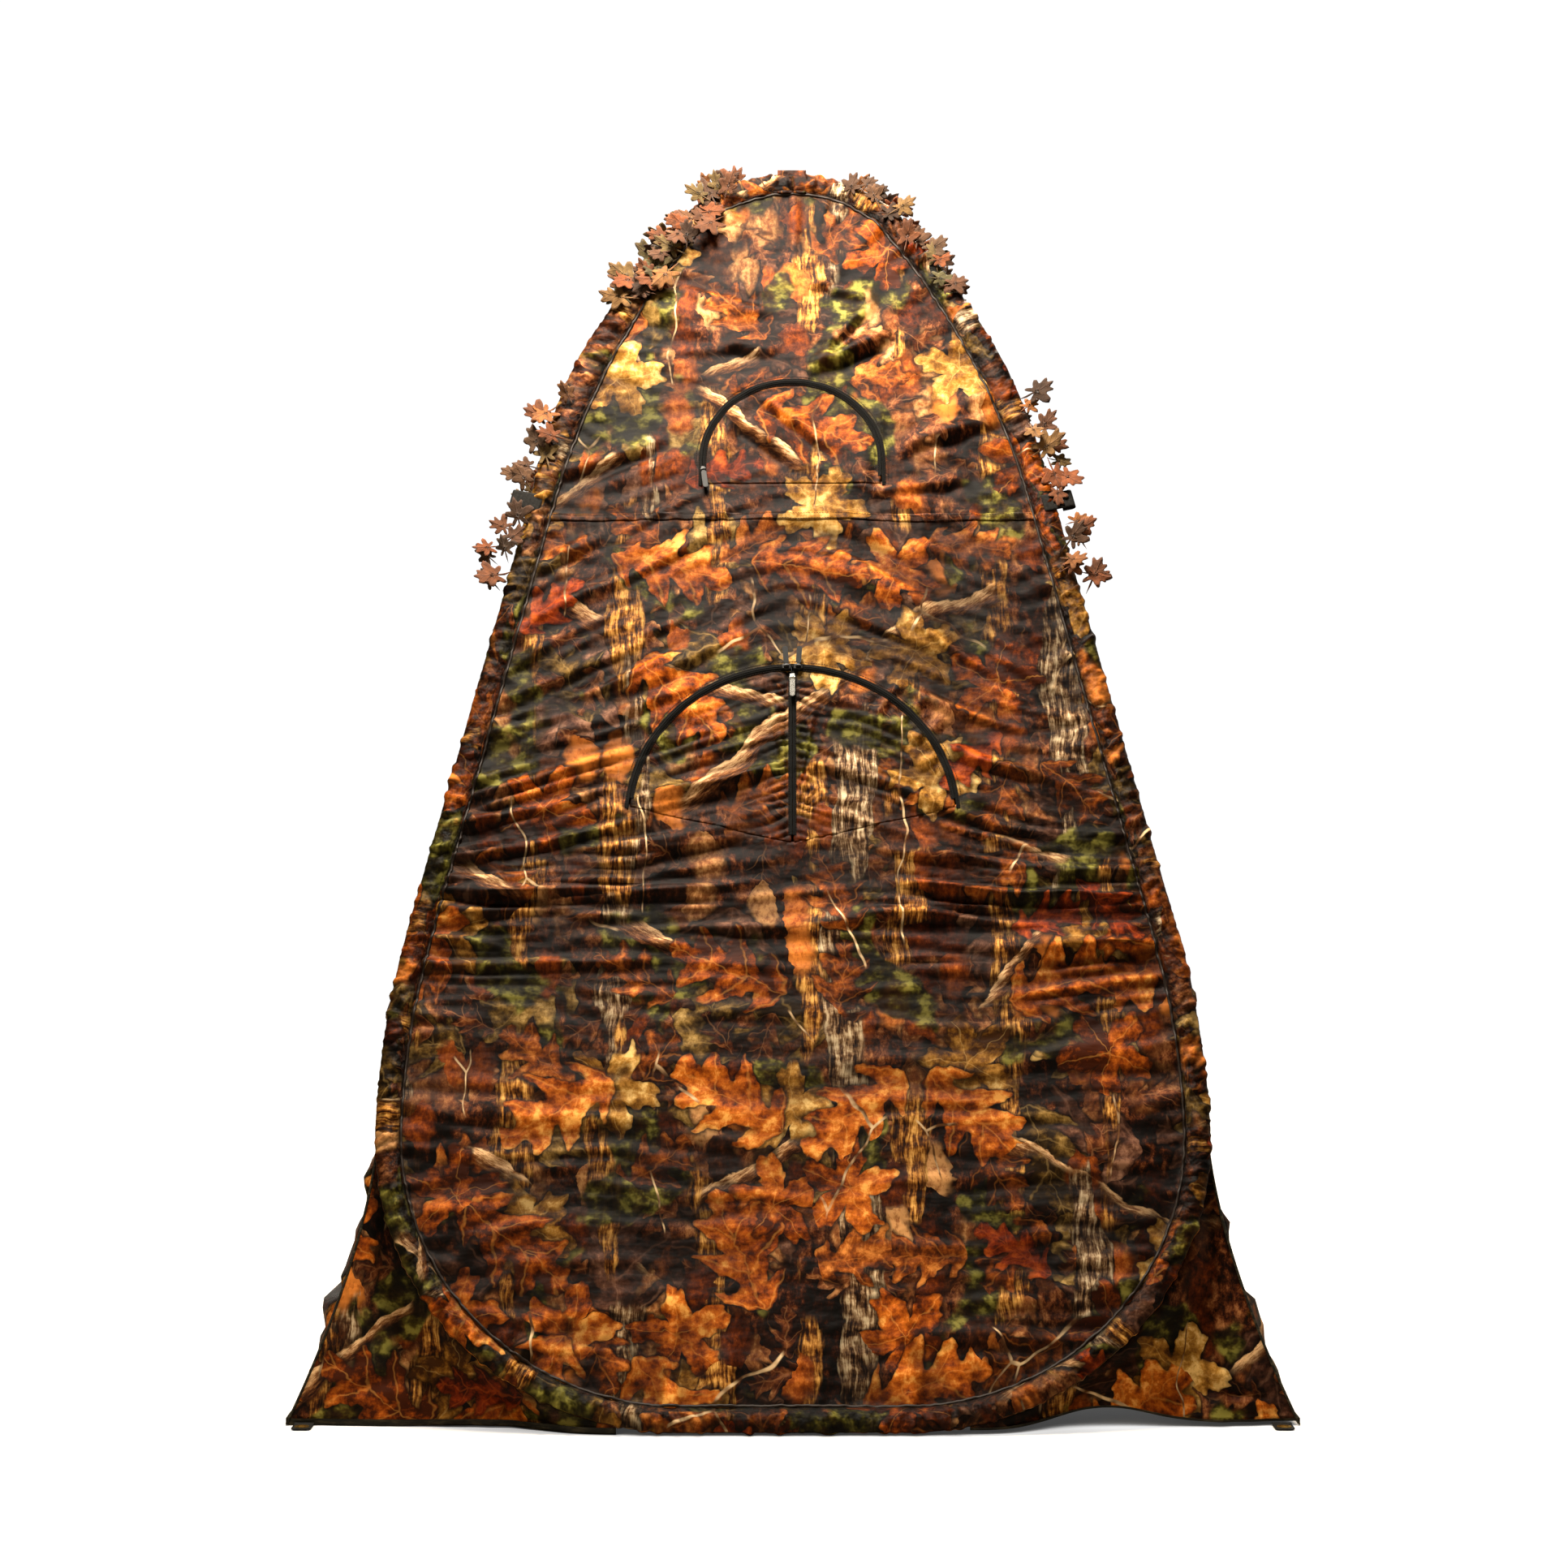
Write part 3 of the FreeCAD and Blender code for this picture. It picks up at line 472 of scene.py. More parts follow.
def sheet_grid(low, high, step, inside):
    """Flat grid over a region, as (w, s) of its vertices and its faces. inside(w, s) is the distance in
    from the region's edge, and vertices near the edge are moved onto it."""
    u, v = (np.arange(first, last + step, step) for first, last in zip(low, high))
    u, v = np.meshgrid(u, v, indexing="ij")
    depth = inside(u, v)
    keep = depth > -0.5 * step
    near = keep & (depth < 0.5 * step)
    nudge = step * 0.05
    un, vn = u[near], v[near]
    for _ in range(3):
        here = inside(un, vn)
        du = (inside(un + nudge, vn) - inside(un - nudge, vn)) / (2 * nudge)
        dv = (inside(un, vn + nudge) - inside(un, vn - nudge)) / (2 * nudge)
        size = np.maximum(du ** 2 + dv ** 2, 0.25)
        un, vn = un - here * du / size, vn - here * dv / size
    u[near], v[near] = un, vn
    index = np.full(u.shape, -1)
    index[keep] = np.arange(keep.sum())
    corners = stack(index[:-1, :-1], index[1:, :-1], index[1:, 1:], index[:-1, 1:]).reshape(-1, 4)
    count = (corners >= 0).sum(axis=1)
    faces = corners[count == 4].tolist()
    faces += [[c for c in row if c >= 0] for row in corners[count == 3].tolist()]
    return u[keep], v[keep], faces


def grid_faces(rows, columns, close_rows=False, close_columns=False):
    """Quads of a grid of rows x columns vertices, numbered row by row."""
    i = np.arange(rows if close_rows else rows - 1)
    j = np.arange(columns if close_columns else columns - 1)
    i, j = np.meshgrid(i, j, indexing="ij")
    k, m = (i + 1) % rows, (j + 1) % columns
    quads = stack(i * columns + j, k * columns + j, k * columns + m, i * columns + m)
    return quads.reshape(-1, 4).tolist()


def sweep(path, out, offsets, heights, place):
    """A section carried along a path in a wall frame, with capped ends. offsets run along `out`."""
    w = path[0][:, None] + out[0][:, None] * offsets
    s = path[1][:, None] + out[1][:, None] * offsets
    rows, columns = w.shape
    points = place(w, s, np.broadcast_to(heights, w.shape)).reshape(-1, 3)
    faces = grid_faces(rows, columns, close_columns=True)
    faces.append(list(range(columns)))
    faces.append([(rows - 1) * columns + k for k in reversed(range(columns))])
    return points, faces


def joined(parts):
    """Several (points, faces, uv) as one."""
    points, faces, uvs, start = [], [], [], 0
    for part_points, part_faces, part_uv in parts:
        points.append(np.asarray(part_points).reshape(-1, 3))
        uvs.append(np.asarray(part_uv).reshape(-1, 2))
        faces += [[k + start for k in face] for face in part_faces]
        start += len(points[-1])
    return np.concatenate(points), faces, np.concatenate(uvs)


# ---- shader node shorthand ----------------------------------------------------------------------------
class Wire:
    """A shader value that can be added, multiplied and compared like a number."""

    def __init__(self, graph, socket):
        self.graph = graph
        self.socket = socket

    def __add__(self, other):
        return self.graph.math("ADD", self, other)

    def __sub__(self, other):
        return self.graph.math("SUBTRACT", self, other)

    def __rsub__(self, other):
        return self.graph.math("SUBTRACT", other, self)

    def __mul__(self, other):
        return self.graph.math("MULTIPLY", self, other)

    def __truediv__(self, other):
        return self.graph.math("DIVIDE", self, other)

    def __abs__(self):
        return self.graph.math("ABSOLUTE", self)

    def part(self):
        """The part after the point."""
        return self.graph.math("FRACT", self)

    __radd__ = __add__
    __rmul__ = __mul__


class Graph:
    """Short names for the nodes of one material."""

    def __init__(self, name):
        self.material = bpy.data.materials.new(name)
        self.material.use_nodes = True
        self.tree = self.material.node_tree
        self.surface = self.tree.nodes["Principled BSDF"]

    def feed(self, socket, value):
        if isinstance(value, Wire):
            self.tree.links.new(value.socket, socket)
        else:
            socket.default_value = value

    def node(self, kind, inputs, output=0, **settings):
        node = self.tree.nodes.new("ShaderNode" + kind)
        for key, value in settings.items():
            setattr(node, key, value)
        for key, value in inputs.items():
            self.feed(node.inputs[key], value)
        return Wire(self, node.outputs[output])

    def math(self, operation, *values, clamp=False):
        return self.node("Math", dict(enumerate(values)), operation=operation, use_clamp=clamp)

    def vector(self, operation, *values):
        return self.node("VectorMath", dict(enumerate(values)), operation=operation)

    def parts(self, vector):
        node = self.tree.nodes.new("ShaderNodeSeparateXYZ")
        self.feed(node.inputs[0], vector)
        return [Wire(self, output) for output in node.outputs]

    def joined(self, x, y, z=0.0):
        return self.node("CombineXYZ", {0: x, 1: y, 2: z})

    def step(self, value, low, high):
        """0 below low, 1 above high, smooth between; low may be above high."""
        inputs = {0: value, 1: low, 2: high, 3: 0.0, 4: 1.0}
        return self.node("MapRange", inputs, interpolation_type="SMOOTHSTEP")

    def scaled(self, vector, x, y, shift=0.0):
        moved = self.vector("MULTIPLY", vector, (x, y, 1.0))
        return self.vector("ADD", moved, (shift, shift * 0.7, 0.0)) if shift else moved

    def noise(self, vector, x, y, shift=0.0, detail=2.0, rough=0.5):
        """Noise with x and y bumps a metre."""
        place = self.scaled(vector, x, y, shift)
        inputs = {"Vector": place, "Scale": 1.0, "Detail": detail, "Roughness": rough}
        return self.node("TexNoise", inputs, noise_dimensions="2D")

    def cells(self, vector, randomness=1.0):
        """Scattered cells: distance from and place of the cell's own point, and three draws for the cell."""
        node = self.tree.nodes.new("ShaderNodeTexVoronoi")
        node.voronoi_dimensions = "2D"
        for key, value in (("Vector", vector), ("Scale", 1.0), ("Randomness", randomness)):
            self.feed(node.inputs[key], value)
        away, drawn, place = (Wire(self, node.outputs[key]) for key in ("Distance", "Color", "Position"))
        draws = self.node("SeparateColor", {0: drawn}).socket.node.outputs
        return away, place, [Wire(self, output) for output in draws]

    def turned(self, vector, angle):
        return self.node("VectorRotate", {"Vector": vector, "Angle": angle}, rotation_type="Z_AXIS")

    def mix(self, share, under, over, mode="MIX"):
        node = self.tree.nodes.new("ShaderNodeMix")
        node.data_type = "RGBA"
        node.blend_type = mode
        for index, value in ((0, share), (6, under), (7, over)):
            self.feed(node.inputs[index], value)
        return Wire(self, node.outputs[2])

    def ramp(self, value, stops):
        """Colour by value. A stop is its value and its display red, green and blue."""
        node = self.tree.nodes.new("ShaderNodeValToRGB")
        self.feed(node.inputs[0], value)
        elements = node.color_ramp.elements
        while len(elements) < len(stops):
            elements.new(0.5)
        for element, (place, *colour) in zip(elements, stops):
            element.position = place
            element.color = ink(*colour)
        return Wire(self, node.outputs[0])

    def uv(self):
        return self.node("UVMap", {}, uv_map="UVMap")

    def finish(self, **inputs):
        names = {"colour": "Base Color", "rough": "Roughness", "metal": "Metallic", "sheen": "Sheen Weight",
                 "shine": "Specular IOR Level", "normal": "Normal", "sheen_rough": "Sheen Roughness"}
        for key, value in inputs.items():
            self.feed(self.surface.inputs[names[key]], value)
        return self.material

    def bump(self, height, distance, under=None):
        inputs = {"Distance": distance, "Height": height}
        if under is not None:
            inputs["Normal"] = under
        return self.node("Bump", inputs)


def ink(red, green, blue):
    """A colour given as 0-255 display values, in the linear values that shaders take."""
    shares = (red / 255, green / 255, blue / 255)
    return (*(c / 12.92 if c < 0.0404 else ((c + 0.055) / 1.055) ** 2.4 for c in shares), 1.0)


# ---- the leaf print -------------------------------------------------------------------------------------
def over(g, under, colour, mask):
    return g.mix(mask, under, colour)


def shaded(g, colour, factor):
    return g.mix(1.0, colour, g.joined(factor, factor, factor), "MULTIPLY")


def wandered(g, p, scale, reach, seed):
    """p pushed about by soft noise, so that printed edges are never regular."""
    inputs = {"Vector": g.scaled(p, scale, scale, seed), "Scale": 1.0, "Detail": 2.0}
    push = g.vector("SUBTRACT", g.node("TexNoise", inputs, output=1, noise_dimensions="2D"), (0.5, 0.5, 0.5))
    return g.vector("ADD", p, g.scaled(push, reach, reach))


def ground_layer(g, p):
    """Forest floor: brown patches, dark gaps and fine debris."""
    patches = g.noise(p, 6.5, 4.5, 3.0)
    debris = g.noise(p, 66.0, 44.0, 8.0, 5.0, 0.72)
    value = patches * 0.42 + debris * 0.58
    return g.ramp(value, [
        (0.40, 14, 6, 2), (0.465, 40, 18, 6), (0.51, 74, 38, 16),
        (0.55, 106, 62, 34), (0.60, 138, 92, 58), (0.68, 178, 128, 82),
    ])


def litter_layer(g, p, under, size, share, inks, seed):
    """Small torn bits of leaf and bark, each of one tone with a dark side."""
    q = g.scaled(wandered(g, p, 60.0, 0.016, seed), 1 / size, 0.6 / size, seed)
    away, _, (chance, tint, light) = g.cells(q)
    grain = g.noise(p, 120.0, 90.0, seed, 3.0, 0.65)
    tone = g.ramp(tint * 0.7 + grain * 0.75 - 0.22, inks)
    mask = g.math("LESS_THAN", chance, share) * g.step(away, 0.62, 0.42)
    return over(g, under, shaded(g, tone, g.step(away, 0.66, 0.10) * 0.65 + 0.35 + light * 0.15), mask)


def streak_layer(g, p, under, spacing, share, inks, seed):
    """Upright strips of bark or dry stalks with ragged sides and fine streaks along them."""
    u, v, _ = g.parts(p)
    bend = g.noise(g.joined(seed, v), 1.0, 2.6) - 0.5
    place = (u / spacing + bend * 0.25 + seed * 0.311).part() - 0.5
    half = g.noise(g.joined(u, v), 3.5, 5.0, 17.0 + seed) * 0.062 - 0.012
    edge = half - abs(place * spacing)
    edge = edge + (g.noise(p, 75.0, 24.0, 9.0 + seed, 3.0, 0.6) - 0.5) * 0.016
    present = g.step(g.noise(p, 5.2, 3.4, 51.0 + seed), 1.0 - share, 1.04 - share)
    mask = g.step(edge, -0.0006, 0.0014) * present
    fine = g.noise(p, 190.0, 24.0, 61.0 + seed, 4.0, 0.7)
    knots = g.noise(p, 42.0, 60.0, 66.0 + seed, 3.0, 0.6)
    colour = g.ramp(fine * 0.62 + knots * 0.38, inks)
    rounded = g.step(edge, -0.002, 0.010) * 0.5 + 0.5
    return over(g, under, shaded(g, colour, rounded), mask)


GREY_BARK = [(0.40, 34, 18, 9), (0.47, 92, 66, 44), (0.53, 150, 122, 92), (0.62, 214, 194, 162)]
GOLD_BARK = [(0.40, 46, 24, 8), (0.47, 112, 70, 30), (0.53, 168, 118, 56), (0.62, 226, 178, 104)]
LITTER = [(0.10, 26, 11, 4), (0.30, 66, 34, 14), (0.50, 112, 66, 34), (0.68, 150, 102, 62),
          (0.86, 200, 154, 104)]
RUST_LITTER = [(0.10, 44, 18, 4), (0.32, 98, 46, 12), (0.55, 152, 82, 26), (0.80, 208, 134, 64)]


def branch_layer(g, p, under, angle, spacing, thick, seed):
    """Slanting branches with rough bark, lit along their upper edge."""
    q = g.turned(p, angle)
    _, y, _ = g.parts(q)
    wander = g.noise(q, 3.4, 0.8, seed) - 0.5
    place = (y / spacing + wander * 0.30 + seed * 0.137).part() - 0.5
    off = place * spacing
    half = g.noise(q, 5.0, 2.0, seed + 4.0) * thick * 2.0
    knots = (g.noise(q, 60.0, 90.0, seed + 7.0, 3.0) - 0.5) * 0.009
    edge = half - abs(off) + knots
    present = g.step(g.noise(q, 3.3, 4.2, seed + 11.0), 0.51, 0.55)
    mask = g.step(edge, -0.0006, 0.0014) * present
    bark = g.noise(q, 46.0, 210.0, seed, 4.0, 0.75)
    shade = g.step(off / half, -1.0, 0.9) * 0.45 + bark * 1.15 - 0.18
    colour = g.ramp(shade, [
        (0.22, 24, 11, 5), (0.44, 84, 50, 28), (0.66, 146, 102, 64), (0.92, 228, 192, 148),
    ])
    shadow = g.step(edge, -0.016, 0.001) * present * 0.65
    return over(g, over(g, under, ink(14, 6, 3), shadow), colour, mask)


def foliage_layer(g, p, under):
    """Soft olive clumps with lighter leaf tips."""
    patch = g.noise(p, 7.6, 6.2, 74.0, 3.0, 0.5)
    mask = g.step(patch, 0.575, 0.615) * 0.92
    tone = g.noise(p, 38.0, 44.0, 81.0, 3.0, 0.6)
    colour = g.ramp(tone, [
        (0.38, 18, 17, 5), (0.47, 46, 43, 13), (0.55, 82, 78, 30), (0.66, 142, 136, 70),
    ])
    return over(g, under, colour, mask)


def twig_layer(g, p, under, seed, size):
    """Thin pale twigs."""
    bent = wandered(g, p, 9.0, 0.05, seed)
    inputs = {"Vector": g.scaled(bent, 1 / size, 0.5 / size, seed), "Scale": 1.0, "Randomness": 1.0}
    far = g.node("TexVoronoi", inputs, voronoi_dimensions="2D", feature="DISTANCE_TO_EDGE")
    line = g.step(far * size, 0.0017, 0.0006)
    present = g.step(g.noise(p, 5.5, 4.0, seed + 5.0), 0.54, 0.57)
    tone = g.ramp(g.noise(p, 30.0, 30.0, seed + 9.0), [(0.4, 104, 72, 44), (0.6, 228, 200, 160)])
    return over(g, under, tone, line * present)


def oak_shape(g, x, y, length, width):
    """Distance in from an oak leaf's edge, where the leaf ends, and how close a point is to a vein."""
    across = abs(y)
    along = x / length + 0.5
    inside = g.math("MULTIPLY", along, 1.0, clamp=True)
    body = g.math("POWER", g.math("SINE", inside * math.pi), 0.6)
    phase = along * 3.3 - across * (2.6 / length)
    lobes = g.math("COSINE", phase * (2 * math.pi)) * 0.33 + 0.67
    edge = body * lobes * width - across
    ends = g.step(abs(along - 0.44), 0.60, 0.57)
    middle = g.step(across, 0.0016, 0.0004)
    ribs = g.step(abs((phase + 0.5).part() - 0.5), 0.06, 0.01)
    return edge, ends, g.math("MAXIMUM", middle, ribs)


def maple_shape(g, x, y, length, width):
    """The same for a broad leaf with five pointed lobes; width is the share taken by the lobes."""
    angle = g.math("ARCTAN2", y, x)
    reach = g.math("SQRT", x * x + y * y)
    lobes = g.math("POWER", abs(g.math("COSINE", angle * 2.5)), 1.1)
    teeth = g.math("COSINE", angle * 17.0) * 0.07
    radius = (lobes * width + teeth + (1.0 - width)) * (length / 2)
    vein = g.step(abs(g.math("SINE", angle * 2.5)) * reach, 0.0030, 0.0008)
    return radius - reach, 1.0, vein


def leaf_layer(g, p, under, shape, cell, length, width, share, inks, seed):
    """Leaves scattered one to a cell over the print so far, each with veins, shade and a soft shadow."""
    q = g.scaled(wandered(g, p, 40.0, 0.017, seed), 1 / cell, 1 / cell, seed)
    _, middle, (turn, chance, tint) = g.cells(q, 0.8)
    local = g.scaled(g.vector("SUBTRACT", q, middle), cell, cell)
    x, y, _ = g.parts(g.turned(local, turn * 6.283))
    edge, ends, vein = shape(g, x, y, length, width)
    present = g.math("LESS_THAN", chance, share)
    gate = present * ends if isinstance(ends, Wire) else present
    mask = g.step(edge, -0.0008, 0.0012) * gate
    shadow = g.step(edge, -0.015, 0.0015) * gate * 0.75
    mottle = g.noise(p, 48.0, 48.0, seed + 2.0, 4.0, 0.65)
    bend = g.step(y / length, -0.20, 0.22) * 0.30
    tone = g.math("ADD", tint * 0.42 + bend, mottle * 1.9 - 0.92, clamp=True)
    colour = g.ramp(tone, inks)
    colour = g.mix(vein * 0.24, colour, ink(*inks[-1][1:]))
    rim = g.step(edge, 0.0, 0.008) * 0.42 + 0.58
    return over(g, over(g, under, ink(12, 5, 2), shadow), shaded(g, colour, rim), mask)


BROWN_LEAF = [(0.10, 34, 14, 5), (0.38, 84, 44, 20), (0.66, 128, 80, 46), (0.92, 184, 136, 92)]
RUST_LEAF = [(0.10, 46, 22, 6), (0.38, 100, 52, 15), (0.66, 152, 86, 30), (0.95, 208, 140, 72)]
FIRE_LEAF = [(0.08, 76, 35, 6), (0.36, 146, 75, 17), (0.66, 198, 116, 40), (0.95, 238, 178, 98)]
RED_LEAF = [(0.10, 64, 24, 6), (0.50, 138, 58, 14), (0.92, 200, 106, 42)]
MAUVE_LEAF = [(0.10, 36, 20, 13), (0.38, 70, 44, 32), (0.66, 104, 72, 56), (0.95, 150, 114, 92)]
STRAW_LEAF = [(0.10, 46, 32, 12), (0.38, 94, 72, 34), (0.66, 140, 112, 62), (0.95, 190, 160, 104)]
GOLD_LEAF = [(0.08, 78, 48, 14), (0.36, 134, 94, 36), (0.64, 180, 136, 68), (0.95, 228, 194, 130)]


# Each layer of the print, sizes in metres. Litter: piece, share of cells filled, inks, seed.
# Leaves: shape, cell, length, width, share, inks, seed. Streaks: spacing, share, inks, seed.
# Branches: slant, spacing, thickness, seed.
PRINT_LAYERS = [
    (litter_layer, 0.044, 0.60, LITTER, 5.0),
    (leaf_layer, oak_shape, 0.200, 0.190, 0.080, 0.66, MAUVE_LEAF, 31.7),
    (leaf_layer, oak_shape, 0.170, 0.150, 0.062, 0.48, STRAW_LEAF, 37.3),
    (leaf_layer, oak_shape, 0.078, 0.074, 0.024, 0.60, BROWN_LEAF, 3.7),
    (streak_layer, 0.125, 0.53, GOLD_BARK, 1.0),
    (litter_layer, 0.040, 0.26, RUST_LITTER, 15.0),
    (streak_layer, 0.285, 0.53, GREY_BARK, 4.0),
    (foliage_layer,),
    (leaf_layer, oak_shape, 0.124, 0.122, 0.042, 0.38, RUST_LEAF, 9.1),
    (branch_layer, 0.50, 0.37, 0.0125, 2.0),
    (branch_layer, -0.62, 0.46, 0.0105, 6.0),
    (leaf_layer, maple_shape, 0.205, 0.125, 0.55, 0.42, GOLD_LEAF, 14.3),
    (leaf_layer, maple_shape, 0.172, 0.128, 0.62, 0.24, FIRE_LEAF, 21.9),
    (leaf_layer, oak_shape, 0.190, 0.165, 0.060, 0.32, FIRE_LEAF, 19.9),
    (leaf_layer, oak_shape, 0.215, 0.110, 0.034, 0.17, RED_LEAF, 24.2),
]


def print_colour(g, p):
    """The whole print on flat cloth, p in metres."""
    q = wandered(g, p, 17.0, 0.012, 2.0)
    colour = ground_layer(g, q)
    for layer, *options in PRINT_LAYERS:
        colour = layer(g, q, colour, *options)
    colour = twig_layer(g, p, colour, 4.0, 0.17)
    cloud = g.noise(p, 3.6, 3.1, 91.0) * 1.1 + 0.42
    inked = g.node("Gamma", {"Color": shaded(g, colour, cloud), "Gamma": 1.22})
    return shaded(g, inked, 1.20)


def weave_height(g, p, pitch):
    turns = 2 * math.pi / pitch
    u, v, _ = g.parts(p)
    return g.math("SINE", u * turns) * g.math("SINE", v * turns)


def print_material(name, wrinkle, stretch):
    """Printed woven polyester: leaf print, fine weave and small crinkles, with painted shade where the mesh's
    shade attribute says so.
    """
    g = Graph(name)
    p = g.uv()
    crinkle = g.noise(p, 30.0 * stretch, 62.0, 3.0, 2.0, 0.45)
    normal = g.bump(crinkle, wrinkle)
    normal = g.bump(weave_height(g, p, 0.0011), 0.00006, normal)
    rough = g.noise(p, 30.0, 30.0, 4.0) * 0.16 + 0.40
    # the mesh's shade attribute is painted shade, multiplied into the print colour
    shade = g.node("Attribute", {}, output=2, attribute_name="shade")
    colour = shaded(g, print_colour(g, p), shade * -1.0 + 1.0)
    return g.finish(colour=colour, rough=rough, shine=0.075, normal=normal)


def leaf_cloth_material():
    """Die-cut leaf cloth: each leaf has its own brown, rust or olive, printed veins and a dark cut edge."""
    g = Graph("leaf_cloth")
    p = g.uv()
    whole = g.vector("FLOOR", p)
    draw = g.node("TexWhiteNoise", {"Vector": whole}, noise_dimensions="2D")
    base = g.ramp(draw, [
        (0.0, 46, 30, 18), (0.22, 74, 48, 28), (0.42, 112, 56, 20), (0.60, 62, 48, 34),
        (0.76, 128, 76, 32), (0.90, 100, 78, 42), (1.0, 66, 60, 32),
    ])
    local = g.vector("SUBTRACT", g.vector("SUBTRACT", p, whole), (0.5, 0.5, 0.0))
    x, y, _ = g.parts(local)
    mottle = g.noise(p, 90.0, 90.0, detail=3.0, rough=0.6)
    ribs = abs(((x - abs(y)) / 0.0085).part() - 0.5)
    vein = g.math("MAXIMUM", g.step(abs(y), 0.0010, 0.0003), g.step(ribs, 0.10, 0.03) * 0.6)
    colour = shaded(g, base, mottle * 1.5 + 0.25)
    colour = g.mix(vein * 0.45, colour, ink(58, 30, 16))
    reach = g.math("SQRT", x * x + y * y)
    colour = g.mix(g.step(reach, 0.010, 0.030) * 0.35, colour, ink(60, 32, 18))
    normal = g.bump(g.noise(p, 240.0, 240.0) + vein, 0.0004)
    return g.finish(colour=colour, rough=0.82, shine=0.22, sheen=0.15, normal=normal)


def webbing_material(name, dark, light, pitch):
    """Ribbed woven tape."""
    g = Graph(name)
    p = g.uv()
    u, v, _ = g.parts(p)
    rib = g.math("SINE", (u + v) * (2 * math.pi / pitch)) * g.math("SINE", (u - v) * (2 * math.pi / pitch))
    wear = g.noise(p, 300.0, 300.0)
    colour = g.mix(g.math("MULTIPLY", rib * 0.4 + wear, 1.0, clamp=True), dark, light)
    return g.finish(colour=colour, rough=0.76, shine=0.14, normal=g.bump(rib, 0.00022))


def hem_material():
    """Coated strip along the ground: smooth, olive black, scuffed near the floor."""
    g = Graph("ground_hem")
    p = g.uv()
    scuff = g.noise(p, 40.0, 190.0, detail=3.0, rough=0.6)
    colour = g.ramp(scuff, [(0.35, 16, 15, 9), (0.55, 36, 33, 22), (0.72, 70, 62, 44)])
    normal = g.bump(g.noise(p, 90.0, 160.0, detail=3.0), 0.0009)
    return g.finish(colour=colour, rough=0.5, shine=0.22, normal=normal)


def thread_material():
    g = Graph("thread")
    twist = g.noise(g.uv(), 900.0, 900.0, detail=1.0)
    colour = g.mix(twist, ink(12, 7, 4), ink(40, 25, 14))
    return g.finish(colour=colour, rough=0.6, shine=0.3)


def metal_material(name, colour, rough, metal, grain):
    """Metal or enamel part, with fine grain and handling marks."""
    g = Graph(name)
    place = g.node("TexCoord", {}, output=3)
    marks = g.node("TexNoise", {"Vector": place, "Scale": grain, "Detail": 4.0, "Roughness": 0.65})
    rubbed = (*(min(1.0, c * 1.6 + 0.02) for c in colour[:3]), 1.0)
    worn = g.mix(g.step(marks, 0.55, 0.75) * 0.35, colour, rubbed)
    return g.finish(colour=worn, rough=marks * 0.3 + (rough - 0.15), metal=metal, shine=0.5,
                    normal=g.bump(marks, 0.00005))


PRINT = print_material("leaf_print", 0.0016, 1.0)
PRINT_SLEEVE = print_material("leaf_print_gathered", 0.0030, 2.6)
LEAF_CLOTH = leaf_cloth_material()
WEBBING = webbing_material("black_webbing", ink(9, 9, 9), ink(38, 36, 33), 0.0026)
ZIP_TAPE = webbing_material("zip_tape", ink(5, 5, 5), ink(17, 16, 14), 0.0011)
HEM = hem_material()
THREAD = thread_material()
ENAMEL = metal_material("black_enamel", ink(9, 9, 9), 0.38, 0.2, 900.0)
NICKEL = metal_material("nickel", ink(206, 204, 198), 0.28, 1.0, 1200.0)
SPRING = metal_material("spring_steel", ink(150, 152, 156), 0.34, 1.0, 600.0)
ZINC = metal_material("zinc", ink(176, 178, 180), 0.42, 1.0, 800.0)
BRASS = metal_material("brass", ink(196, 160, 86), 0.3, 1.0, 900.0)


# ---- putting a piece on its body --------------------------------------------------------------------
def fit(piece, body, slot, material, *nodes):
    """Give a piece its material and the body it rides on, and hide the CAD nodes it stands for; slot is not
    used.
    """
    piece.data.materials.append(material)
    if nodes:
        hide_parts(*nodes)
    if body:
        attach(piece, body)
    return piece


def fit_across(piece, share, slot, material, *nodes):
    """The same for cloth that spans both walls, kept on no body and with its transform baked in; share is not
    used.
    """
    fit(piece, None, slot, material, *nodes)
    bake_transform(piece)
    return piece


# ---- panels and flaps ---------------------------------------------------------------------------------
WALL_BOX = ((-HOOP_WIDE, 0.0), (HOOP_WIDE, HOOP_TOP))
FRONT_PRINT = (0.0, 0.0)
REAR_PRINT = (3.37, 1.91)


def cloth_sheet(name, inside, box, step, place, shift=FRONT_PRINT, rise=0.0):
    w, s, faces = sheet_grid(box[0], box[1], step, inside)
    uv = stack(w + shift[0], s + shift[1])
    height = front_height(w, s) if place is front_cloth else rear_height(w, s)
    return build(name, place(w, s, rise), faces, uv, thick=CLOTH_THICK, shade=painted_cloth_shade(w, s, height))


def panel_pair(wall, place, step, shift, window_above, window_below):
    """A wall's cloth above and below its seam, each with its openings left out."""
    def upper(w, s):
        return np.minimum(np.minimum(in_panel(w, s), s - SEAM_S), -window_above(w, s))

    def lower(w, s):
        return np.minimum(np.minimum(in_panel(w, s), SEAM_S - s), -window_below(w, s))

    upper_box = ((-HOOP_WIDE, SEAM_S - step), WALL_BOX[1])
    lower_box = (WALL_BOX[0], (HOOP_WIDE, SEAM_S + step))
    for word, inside, box in (("upper", upper, upper_box), ("lower", lower, lower_box)):
        piece = cloth_sheet(f"{wall}_cloth_{word}", inside, box, step, place, shift)
        fit(piece, wall + "_wall", "camo_fabric", PRINT, f"{wall}_panel_{word}")


def flap_sheet(name, inside, box, *options, **more):
    piece = cloth_sheet(name + "_cloth", inside, box, *options, **more)
    fit(piece, name, "camo_fabric", PRINT, name)


